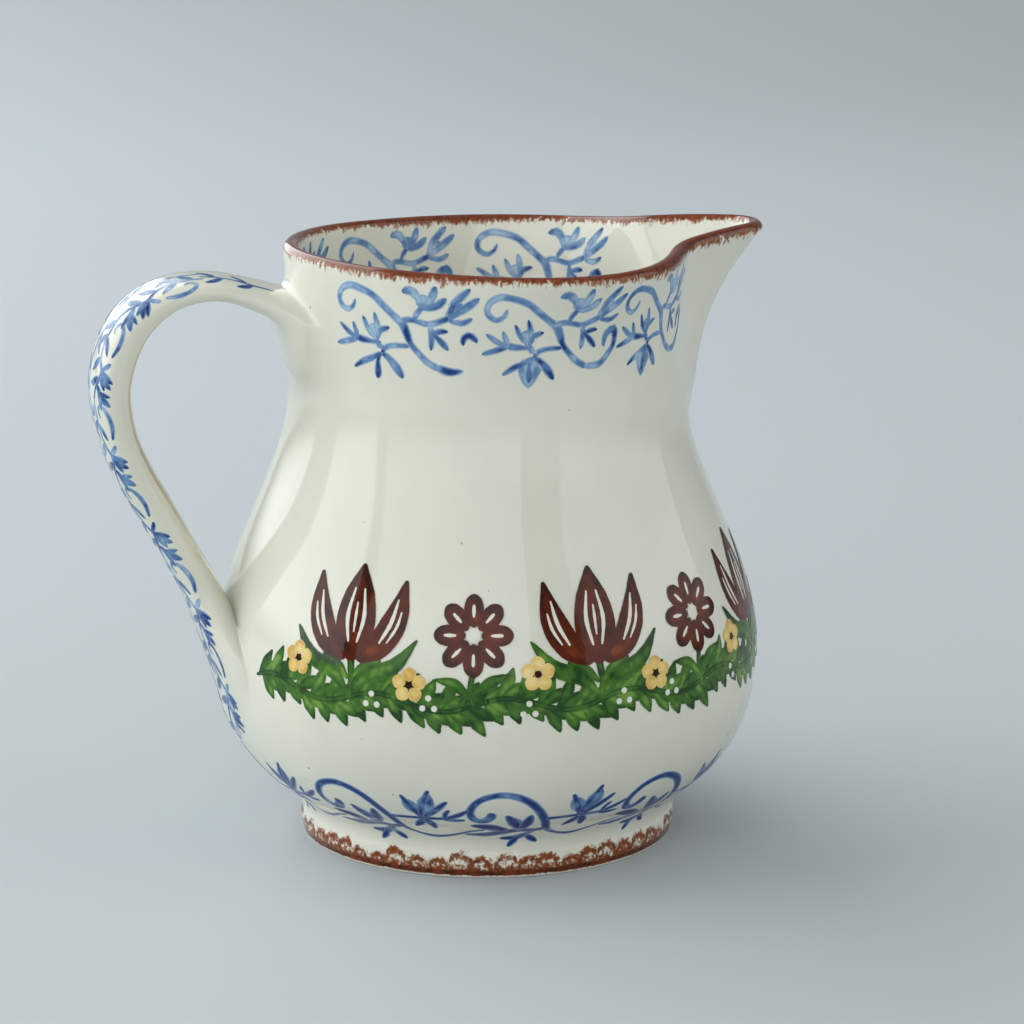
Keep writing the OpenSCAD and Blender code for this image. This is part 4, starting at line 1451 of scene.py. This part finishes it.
deselect_all()
bpy.ops.mesh.primitive_plane_add(size=PAPER_SIZE)
paper = bpy.context.object
paper.name = "paper_cove"
bpy.ops.object.mode_set(mode="EDIT")
bpy.ops.mesh.select_all(action="SELECT")
bpy.ops.mesh.subdivide(number_cuts=PAPER_CUTS)
bpy.ops.object.mode_set(mode="OBJECT")
flat = points_of(paper)
past = np.maximum(flat[:, 1] - SWEEP_START, 0)
bend = np.minimum(past/SWEEP_R, math.pi/2)
flat[:, 1] = np.minimum(flat[:, 1], SWEEP_START) + SWEEP_R*np.sin(bend)
flat[:, 2] = SWEEP_R*(1 - np.cos(bend)) + np.maximum(past - SWEEP_R*math.pi/2, 0)
set_points(paper, flat)
bpy.ops.object.shade_smooth()
paper_finish = bpy.data.materials.new("pale_paper")
paper_finish.use_nodes = True
paper_shader = paper_finish.node_tree.nodes["Principled BSDF"]
paper_shader.inputs["Base Color"].default_value = PAPER_GREY
paper_shader.inputs["Roughness"].default_value = PAPER_ROUGHNESS
paper_shader.inputs["Specular IOR Level"].default_value = PAPER_SHINE
paper.data.materials.append(paper_finish)
print("paper cove:", len(paper.data.polygons), "faces")

# %% [markdown]
# ### The lamps
# Three tall windows of soft light stand round the jug: a near one at the back left, the widest
# at the front left, and a weak one at the right, with a faint box overhead. A glossy pot shows
# its lamps: their reflections are the long pale stripes on the belly. A window that stopped
# short would draw a hard line round the shoulder, so each begins dim at its sill and grows
# brighter in a few strips. The lamps stay weak enough for the slip to show its own colour.


# %% Lamps and the room's own light
FADE_STRIPS = 6
WINDOW_SILL = 0.05
COOL_SIDE = (0.96, 0.99, 1.0)
ROOM_COLOUR = (0.95, 0.98, 1.0, 1)
ROOM_LIGHT = 0.30


def softbox(name, at, towards, width, height, brightness, colour=(1, 1, 1)):
    """A flat lamp. Its power follows from how bright its face is, so that strips of it match."""
    deselect_all()
    bpy.ops.object.light_add(type="AREA", location=at)
    lamp = bpy.context.object
    lamp.name = name
    lamp.data.shape = "RECTANGLE"
    lamp.data.size = width
    lamp.data.size_y = height
    lamp.data.energy = brightness*math.pi*width*height
    lamp.data.color = colour
    lamp.rotation_euler = (Vector(towards) - Vector(at)).to_track_quat("-Z", "Y").to_euler()


def fading_window(name, x, y, width, full_z, top_z, brightness, colour=(1, 1, 1)):
    """An upright window that faces the jug, dim at its sill and at its full brightness from full_z."""
    middle_z = (full_z + top_z)/2
    softbox(name, (x, y, middle_z), (0, 0, middle_z), width, top_z - full_z, brightness, colour)
    strip = (full_z - WINDOW_SILL)/FADE_STRIPS
    for k in range(FADE_STRIPS):
        z = WINDOW_SILL + (k + 0.5)*strip
        dimmed = brightness*(k + 0.5)/FADE_STRIPS
        softbox(f"{name}_fade_{k}", (x, y, z), (0, 0, z), width, strip, dimmed, colour)


fading_window("left_window", x=-0.965, y=0.714, width=3.1, full_z=0.20, top_z=2.1, brightness=2.35,
              colour=COOL_SIDE)
fading_window("front_window", x=-1.12, y=-1.90, width=3.4, full_z=0.40, top_z=2.2, brightness=1.34)
fading_window("right_fill", x=1.9, y=-0.9, width=3.0, full_z=0.40, top_z=2.2, brightness=1.02)
softbox("top_box", at=(0.0, 0.2, 1.9), towards=(0, 0, 0.08), width=2.0, height=2.0, brightness=0.24)
world = bpy.data.worlds.new("room_light")
bpy.context.scene.world = world
world.use_nodes = True
world.node_tree.nodes["Background"].inputs["Color"].default_value = ROOM_COLOUR
world.node_tree.nodes["Background"].inputs["Strength"].default_value = ROOM_LIGHT

# %% [markdown]
# ## The camera
# It stands where the photographer stood: looking down a little over the rim, turned twelve
# degrees past the side view, with a long lens that keeps the jug's sides from spreading.

# %% Camera at the photograph's place
CAMERA_AT = (-0.20133, -0.94719, 0.30373)
LOOKS_AT = (0.00680, 0.00041, 0.08292)
LENS = 135.28
SENSOR = 36
deselect_all()
bpy.ops.object.camera_add(location=CAMERA_AT)
camera = bpy.context.object
camera.name = "photo_view"
camera.data.lens = LENS
camera.data.sensor_width = SENSOR
camera.rotation_euler = (Vector(LOOKS_AT) - Vector(CAMERA_AT)).to_track_quat("-Z", "Y").to_euler()
bpy.context.scene.camera = camera
bpy.context.scene.view_settings.view_transform = "Standard"
print("camera lens:", LENS)
